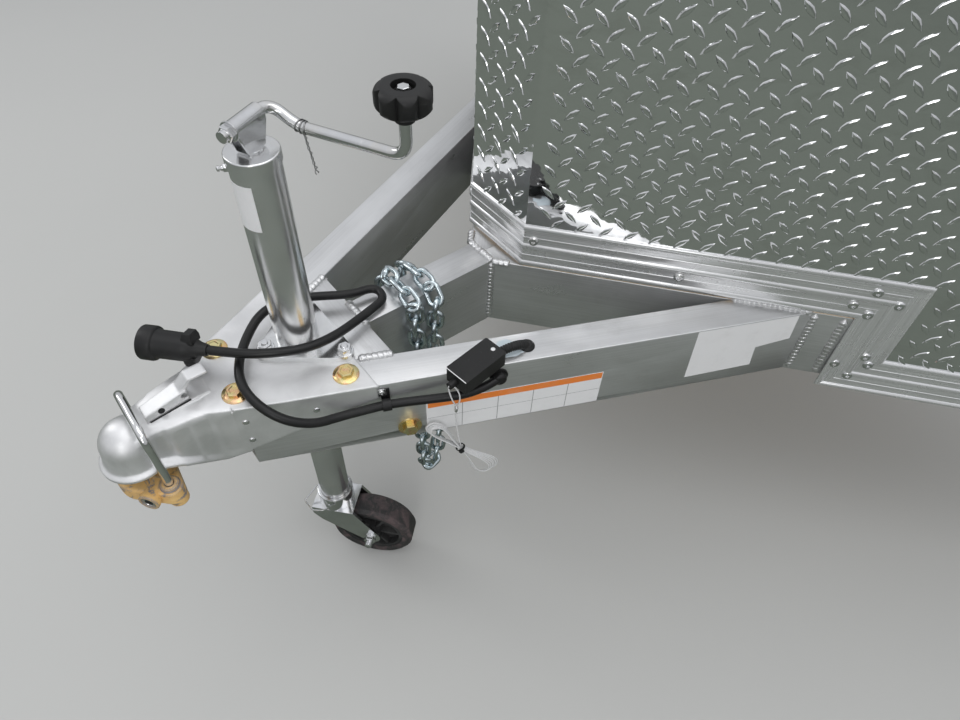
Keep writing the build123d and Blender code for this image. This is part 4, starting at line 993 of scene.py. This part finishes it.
def bend_crank():
    """The crank's bent rod with its nut, the wire twisted round it and the knob's bolt."""
    arm = Build()
    corners = [(0, -36, 335), (0, 41, 335), (31, 41, 316.5), (164, 41, 319), (164, 41, 362)]
    line = bent_bar(corners, [19, 16, 20])
    arm.tube(CRANK, line, 6.4, 20)
    nut = CRANK @ place((0, -22.3 * MM, 335 * MM), (1, 0, 0), (0, -1, 0))
    arm.turned(nut, [(11.0, 0), (11.0, 1.5), (6.4, 1.6)], 28)
    hex_head(arm, nut @ shift(0, 0, 1.6), 16, 7)
    arm.finish("crank_arm", "zinc_bright", "handle", angle=32, replaces=("crank_handle",))
    wire = Build()
    # three turns round the arm where its second bend ends, then both ends twisted together
    for at in (15, 16, 17):
        around = place(line[at] * MM, (0, 1, 0), line[at + 1] - line[at - 1] + Vector((0, 2 * (at - 16), 0)))
        wire.tube(CRANK @ around, [(x, y, 0) for x, y in circle(7.1, steps=24)], 0.7, 6, closed=True)
    root = line[16] + Vector((-7.0, 6.6, -5.0))
    for phase in (0, pi):
        tail = []
        for i in range(49):
            t = i / 48
            a = phase + t * 30
            spread = 1.0 + 0.5 * sin(9 * t + phase) + 4.0 * max(0.0, t - 0.75)
            tail.append(root + Vector((5 * t + spread * cos(a), 7 * t + spread * sin(a), -62 * t)))
        wire.tube(CRANK, tail, 0.6, 6)
    wire.finish("arm_wire", "wire_dark", "handle", angle=60)
    bolt = Build()
    hex_head(bolt, CRANK @ shift(164, 41, 392.9), 11, 2.2)
    bolt.finish("knob_bolt", "zinc_bright", "handle", angle=32)


def fit_caster():
    """The caster's rolled cup rim, its wire spring clip, axle threads and hub cap."""
    build = Build()
    build.tube(CASTER @ shift(0, 0, -391), [(x, y, 0) for x, y in circle(29.8, steps=48)], 1.5, 8, closed=True)
    bail = bent_bar([(-22, -38, -421), (-34, -38, -421), (-52, -25, -416), (-33, -2, -394)], [4, 4])
    cross = bent_bar([(-34, -38, -421), (-14, -36, -421), (9, -31.5, -397)], [5])
    build.tube(CASTER, bail, 1.3, 8)
    build.tube(CASTER, cross, 1.2, 8)
    axle = CASTER @ place((65 * MM, 0, -505 * MM), (1, 0, 0), (0, -1, 0))
    threads = [(6.6, 31)]
    for i in range(9):
        threads += [(5.9, 40.5 + 1.1 * i), (6.7, 41.05 + 1.1 * i)]
    build.turned(axle, threads + [(4.9, 51.2)], 20)
    for turn in (0, pi):
        build.turned(axle @ spin(turn, "X") @ shift(0, 0, 31), [(12.5, 0), (12.5, 1.6), (11.8, 2.0)], 28)
    hex_head(build, axle @ shift(0, 0, 32.6), 19, 8.4)
    build.finish("caster_wire", "zinc_bright", "caster", angle=40)


# Lead: the route's points, the same as the tube's in the part
LEAD_ROUTE = [beside(*at) for at in (
    (437.4, 7.1, -20.3), (415.4, 16.5, -22.5), (383.4, 21.9, -25.5), (349.4, 16.2, -29.5), (321.4, 12.8, -30.5),
    (293.4, 11.7, -30.0), (267.4, 13.4, -31.5), (235.4, 16.4, -32.5), (198.2, 32.2, -20.7),
)] + [ahead(*at) for at in (
    (166.8, 105.7, -2.9), (147.9, 76.5, 13.1), (144.2, 39.6, 20.2), (158.4, 4.8, 21.5), (186.6, -30.1, 20.7),
    (219.1, -51.7, 28.6), (257.4, -57, 26.5), (295.4, -42, 24.5), (341.4, -21, 17.5), (381.4, -18, 13.5),
    (379.4, 11, 13.5), (349.4, 20, 15.5), (315.4, 32, 20.5), (279.4, 43, 26.5), (239.4, 47, 33.5),
    (201.4, 34, 37.5), (163.4, 10, 38.5), (133.4, -21, 38.5),
)]


def cord_curve(name, points, diameter, look):
    """A round cord on one smooth spline through its route, riding on the frame."""
    curve = bpy.data.curves.new(name, "CURVE")
    curve.dimensions = "3D"
    curve.bevel_depth = diameter / 2
    curve.bevel_resolution = 5
    curve.use_fill_caps = True
    spline = curve.splines.new("NURBS")
    spline.points.add(len(points) - 1)
    for point, at in zip(spline.points, points):
        point.co = (*at, 1)
    spline.order_u = 3
    spline.use_endpoint_u = True
    spline.resolution_u = 8
    curve.materials.append(finish_of(look))
    thing = add_object(name, curve)
    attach(thing, "frame")
    return thing


def spline_length(thing):
    """The real length of a cord's own line."""
    bare = thing.data.copy()
    bare.bevel_depth = 0.0
    holder = add_object("line", bare)
    line = bpy.data.meshes.new_from_object(holder)
    points = [v.co.copy() for v in line.vertices]
    bpy.data.objects.remove(holder)
    return sum((b - a).length for a, b in zip(points, points[1:]))


def lay_lead(sizes):
    """The wiring lead from its gland over the coupler and back, with its plug."""
    lead = cord_curve("wiring_lead", LEAD_ROUTE, sizes.lead_diameter, "black_rubber")
    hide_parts("lead")
    spline_length(lead)
    dress_plug()


def dress_plug():
    """The round plug: boot, two finger wings, body and its socket's skirt."""
    where = place(LEAD_ROUTE[-1], UP, LEAD_ROUTE[-1] - LEAD_ROUTE[-2])
    build = Build()
    build.turned(where, [
        (0, 0), (7.6, 0), (8.4, 3), (9.5, 9), (13, 17), (17, 23), (18.6, 30), (19, 62), (20, 66), (22.2, 67.5),
        (23, 70), (23, 84.5), (22.2, 86), (19.6, 86), (19, 85), (18.5, 74), (0, 74)], 48)
    for turn in (0.35, 0.35 + pi):
        build.rings(where @ spin(turn), [
            [(reach, -half, low), (reach, half, low), (reach, half, high), (reach, -half, high)]
            for reach, half, low, high in ((10, 11, 14, 30), (17, 11, 15, 29), (23.4, 8.8, 17.5, 27.5))])
    return build.finish("lead_plug", "black_plastic", angle=38, replaces=("plug",))


PIN_TIP = SWITCH @ (Vector((50.3, 0, 12)) * MM)
LANYARD_ROUTE = [PIN_TIP] + [beside(*at) for at in (
    (365.4, 25.0, 7.5), (372.0, 32.0, -4.0), (374.0, 31.5, -26.0), (374.0, 23.0, -47.8), (376.9, 15.4, -72.3),
    (379.5, 11.5, -95.0), (382.5, 11.0, -125.0), (386.9, 11.0, -163.7),
)]
EYE_ROUTE = [PIN_TIP] + [beside(*at) for at in (
    (359.0, 30.5, 9.0), (360.5, 33.5, -9.0), (365.4, 32.0, -27.0), (373.6, 24.5, -46.0), (375.9, 18.0, -64.0),
)]
HANK_RUN = -RAIL_RUN * cos(radians(57)) + UP * sin(radians(57))
HANK = place(beside(386.9, 11.0, -167.7), HANK_RUN, RAIL_OUT)


def hank_turns(sizes):
    """Points of the lanyard's tied turns: each a wide lobe below the tie and a narrow one above."""
    draw = random.Random(11)
    stations = (0.06, 0.15, 0.27, 0.39, 0.47, 0.53, 0.61, 0.73, 0.85, 0.94)
    points = []
    for turn in range(sizes.hank_turns):
        share = turn / max(1, sizes.hank_turns - 1)
        lift = (share - 0.5) * 6.5
        # reach from the tie, half width, how far the lobe leans to a side
        lobes = ((12 * share - 98, 21 - 10.6 * share, 1 + 4.5 * share),
                 (84 - 9 * share, 12.8 - 3.1 * share, 1 - 2 * share))
        for reach, half, lean in lobes:
            far = reach + draw.uniform(-2.5, 2.5)
            for at in stations:
                u = far * sin(pi * at) ** 0.62
                w = half * sin(2 * pi * at) + lean * sin(pi * at)
                points.append((u, w, lift + draw.uniform(-0.4, 0.4)))
    return [HANK @ (Vector(p) * MM) for p in points + [(0, 0, 3.4)]]


def hang_lanyard(sizes):
    """The switch's lanyard: its eye round the pin, ferrule, drop and tied spare turns."""
    cable = cord_curve("lanyard_cable", LANYARD_ROUTE + hank_turns(sizes), sizes.cable_diameter, "cable_white")
    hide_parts("lanyard", "lanyard_hank")
    eye = cord_curve("lanyard_eye", EYE_ROUTE, sizes.cable_diameter, "cable_white")
    build = Build()
    top, low = beside(374.0, 23.2, -48.5), beside(375.7, 18.6, -62.0)
    build.turned(place(top, RAIL_OUT, low - top), [
        (2.6, 0), (3.6, 1), (3.6, 4), (2.9, 5), (3.6, 6), (3.6, 9), (2.9, 10), (3.6, 11), (3.4, 14), (2.4, 15),
    ], 20, squash=0.72)
    ferrule = build.finish("lanyard_ferrule", "zinc_bright")
    build = Build()
    across = place(HANK.translation, HANK.col[1].xyz, HANK_RUN)
    build.collar(across, [(6.4, 2), (7.4, 2), (7.4, -2), (6.4, -2)], 28, squash=0.8)
    build.prism(across @ shift(0, 5.2, -3), box_outline(-3.2, 0, 3.2, 4), 0, 6)
    tie = build.finish("lanyard_tie", "black_plastic")
    spline_length(cable)


def link_places(node):
    """The place of each chain link, read from its solid in the frame."""
    cage = bmesh.new()
    cage.from_mesh(frame["nodes"][node].data)
    bmesh.ops.remove_doubles(cage, verts=cage.verts, dist=1e-6)
    left = set(cage.verts)
    places = []
    for seed in cage.verts:
        if seed not in left:
            continue
        left.remove(seed)
        island, edge = [seed], [seed]
        while edge:
            vert = edge.pop()
            for link in vert.link_edges:
                other = link.other_vert(vert)
                if other in left:
                    left.remove(other)
                    island.append(other)
                    edge.append(other)
        points = np.array([v.co for v in island])
        middle = points.mean(0)
        _, axes = np.linalg.eigh(np.cov((points - middle).T))
        places.append(place(middle, Vector(axes[:, 2]), Vector(axes[:, 0])))
    cage.free()
    return places


def hang_chains(sizes):
    """Round-wire links in the places of the chains' solids."""
    wire, half, wide, turns = 3.9, 18, 10.5, 7
    path = []
    for end in (1, -1):
        for i in range(turns + 1):
            angle = pi * (i / turns - end / 2)
            path.append((end * (half - wide) + wide * cos(angle), wide * sin(angle), 0))
    for node in ("chain_left", "chain_right"):
        build = Build()
        for where in link_places(node):
            build.tube(where, path, wire, sizes.link_sides, closed=True)
            seam = where @ shift(0, wide, 0) @ spin(pi / 2, "Y")
            build.turned(seam, [(3.9, -2.2), (4.3, -1), (4.3, 1), (3.9, 2.2)], 10)
        build.finish(node + "_links", "chain_zinc", angle=60, replaces=(node,))


def set_stage(look):
    """Floor, backdrop, soft light and the camera."""
    ground = bpy.data.meshes.new("floor")
    reach, low = 60.0, CAD_BOX[0].z
    ground.from_pydata([(x, y, low) for x, y in box_outline(-reach, -reach, reach, reach)], [], [(0, 1, 2, 3)])
    f = Finish("floor", Roughness=0.85, Specular_IOR_Level=0.2)
    darker = [c * 0.97 for c in look.floor_colour]
    glossy = f.node("LightPath", output=3)
    plain = f.mix(f.noise(EVEN, 2.0, 4), (*look.floor_colour, 1), (*darker, 1))
    ground.materials.append(f.set(Base_Color=f.mix(glossy, plain, (*look.floor_mirrored, 1))))
    add_object("floor", ground)

    world = bpy.data.worlds.new("sky")
    world.use_nodes = True
    nodes, links = world.node_tree.nodes, world.node_tree.links
    back = nodes["Background"]
    at = nodes.new("ShaderNodeTexCoord")
    split = nodes.new("ShaderNodeSeparateXYZ")
    ramp = nodes.new("ShaderNodeValToRGB")
    level, high = ramp.color_ramp.elements
    level.position, level.color = 0.0, (0.50, 0.51, 0.52, 1)
    high.position, high.color = 0.75, (0.86, 0.88, 0.92, 1)
    links.new(at.outputs["Generated"], split.inputs[0])
    links.new(split.outputs["Z"], ramp.inputs[0])
    links.new(ramp.outputs[0], back.inputs[0])
    back.inputs[1].default_value = 0.84
    bpy.context.scene.world = world

    # name, place, aim, width, length, power
    lamps = (
        ("overhead", (0.9, 0.5, 3.0), (1.1, 0.1, 0.0), 2.6, 3.4, 29.0),
        ("front_left", (3.2, 2.2, 1.6), (1.3, 0.0, 0.1), 0.7, 2.2, 14.0),
        ("front_right", (2.6, -2.4, 1.8), (1.3, 0.0, 0.1), 0.8, 2.0, 12.0),
    )
    for name, at_point, aim, wide, tall, power in lamps:
        lamp = bpy.data.lights.new(name, "AREA")
        lamp.shape = "RECTANGLE"
        lamp.size, lamp.size_y, lamp.energy = wide, tall, power
        holder = add_object(name, lamp)
        holder.location = at_point
        holder.rotation_euler = (Vector(aim) - Vector(at_point)).to_track_quat("-Z", "Y").to_euler()

    heading, pitch, roll = look.camera_heading, look.camera_pitch, look.camera_roll
    aim = Vector((cos(heading) * cos(pitch), sin(heading) * cos(pitch), -sin(pitch)))
    right = Matrix.Rotation(-roll, 4, aim) @ aim.cross(UP).normalized()
    camera = bpy.data.cameras.new("camera")
    camera.lens = look.lens
    camera.sensor_width = 36.0
    camera.clip_start, camera.clip_end = 0.02, 200.0
    holder = add_object("camera", camera)
    holder.matrix_world = place(look.camera_at, right, -aim)
    bpy.context.scene.camera = holder
    bpy.context.scene.view_settings.view_transform = "Standard"


# Operators
class TRAILER_OT_finish_nodes(bpy.types.Operator):
    """Give every solid of the frame its finish"""

    bl_idname = "trailer.finish_nodes"
    bl_label = "Finish the Solids"

    def execute(self, context):
        dress_nodes()
        return {"FINISHED"}


class TRAILER_OT_weld_frame(bpy.types.Operator):
    """Lay the weld beads of the tongue"""

    bl_idname = "trailer.weld_frame"
    bl_label = "Weld the Tongue"

    def execute(self, context):
        weld_frame(context.scene.trailer_welds)
        return {"FINISHED"}


class TRAILER_OT_dress_nose(bpy.types.Operator):
    """Raise the lugs of the stone guard and screw down its trims"""

    bl_idname = "trailer.dress_nose"
    bl_label = "Dress the Nose"

    def execute(self, context):
        dress_nose(context.scene.trailer_nose)
        return {"FINISHED"}


class TRAILER_OT_lay_cords(bpy.types.Operator):
    """Lay the lead, the lanyard and the safety chains"""

    bl_idname = "trailer.lay_cords"
    bl_label = "Lay the Lead, Lanyard and Chains"

    def execute(self, context):
        sizes = context.scene.trailer_cords
        lay_lead(sizes)
        hang_lanyard(sizes)
        hang_chains(sizes)
        return {"FINISHED"}


class TRAILER_OT_add_fittings(bpy.types.Operator):
    """Add the bolts, rivets, labels, switch details, lock face and crank wire"""

    bl_idname = "trailer.add_fittings"
    bl_label = "Add the Fittings"

    def execute(self, context):
        sizes = context.scene.trailer_fittings
        fit_coupler(sizes)
        stick_labels(sizes)
        fit_switch()
        fit_lock()
        bend_crank()
        fit_caster()
        return {"FINISHED"}


class TRAILER_OT_set_stage(bpy.types.Operator):
    """Set the floor, the light and the camera"""

    bl_idname = "trailer.set_stage"
    bl_label = "Set the Stage"

    def execute(self, context):
        set_stage(context.scene.trailer_stage)
        return {"FINISHED"}


STEPS = (
    TRAILER_OT_finish_nodes,
    TRAILER_OT_lay_cords,
    TRAILER_OT_weld_frame,
    TRAILER_OT_dress_nose,
    TRAILER_OT_add_fittings,
    TRAILER_OT_set_stage,
)
SIZES = {
    "trailer_welds": WeldSizes,
    "trailer_nose": NoseSizes,
    "trailer_cords": CordSizes,
    "trailer_fittings": FittingSizes,
    "trailer_stage": StageLook,
}


class TRAILER_PT_steps(bpy.types.Panel):
    """The steps that dress the trailer's front end, with their sizes"""

    bl_label = "Trailer Front"
    bl_idname = "TRAILER_PT_steps"
    bl_space_type = "VIEW_3D"
    bl_region_type = "UI"
    bl_category = "Trailer"

    def draw(self, context):
        for step in STEPS:
            self.layout.operator(step.bl_idname)
        for name, group in SIZES.items():
            box = self.layout.box()
            for size in group.__annotations__:
                box.prop(getattr(context.scene, name), size)


def register():
    """Register the sizes, the steps and the panel."""
    for group in SIZES.values():
        bpy.utils.register_class(group)
    for name, group in SIZES.items():
        setattr(bpy.types.Scene, name, PointerProperty(type=group))
    for step in (*STEPS, TRAILER_PT_steps):
        bpy.utils.register_class(step)


def unregister():
    """Take them all out again."""
    for step in (TRAILER_PT_steps, *STEPS[::-1]):
        bpy.utils.unregister_class(step)
    for name, group in SIZES.items():
        delattr(bpy.types.Scene, name)
        bpy.utils.unregister_class(group)


def main():
    """Dress the frame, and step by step."""
    register()
    for step in STEPS:
        space, name = step.bl_idname.split(".")
        getattr(getattr(bpy.ops, space), name)()


if __name__ == "__main__":
    main()
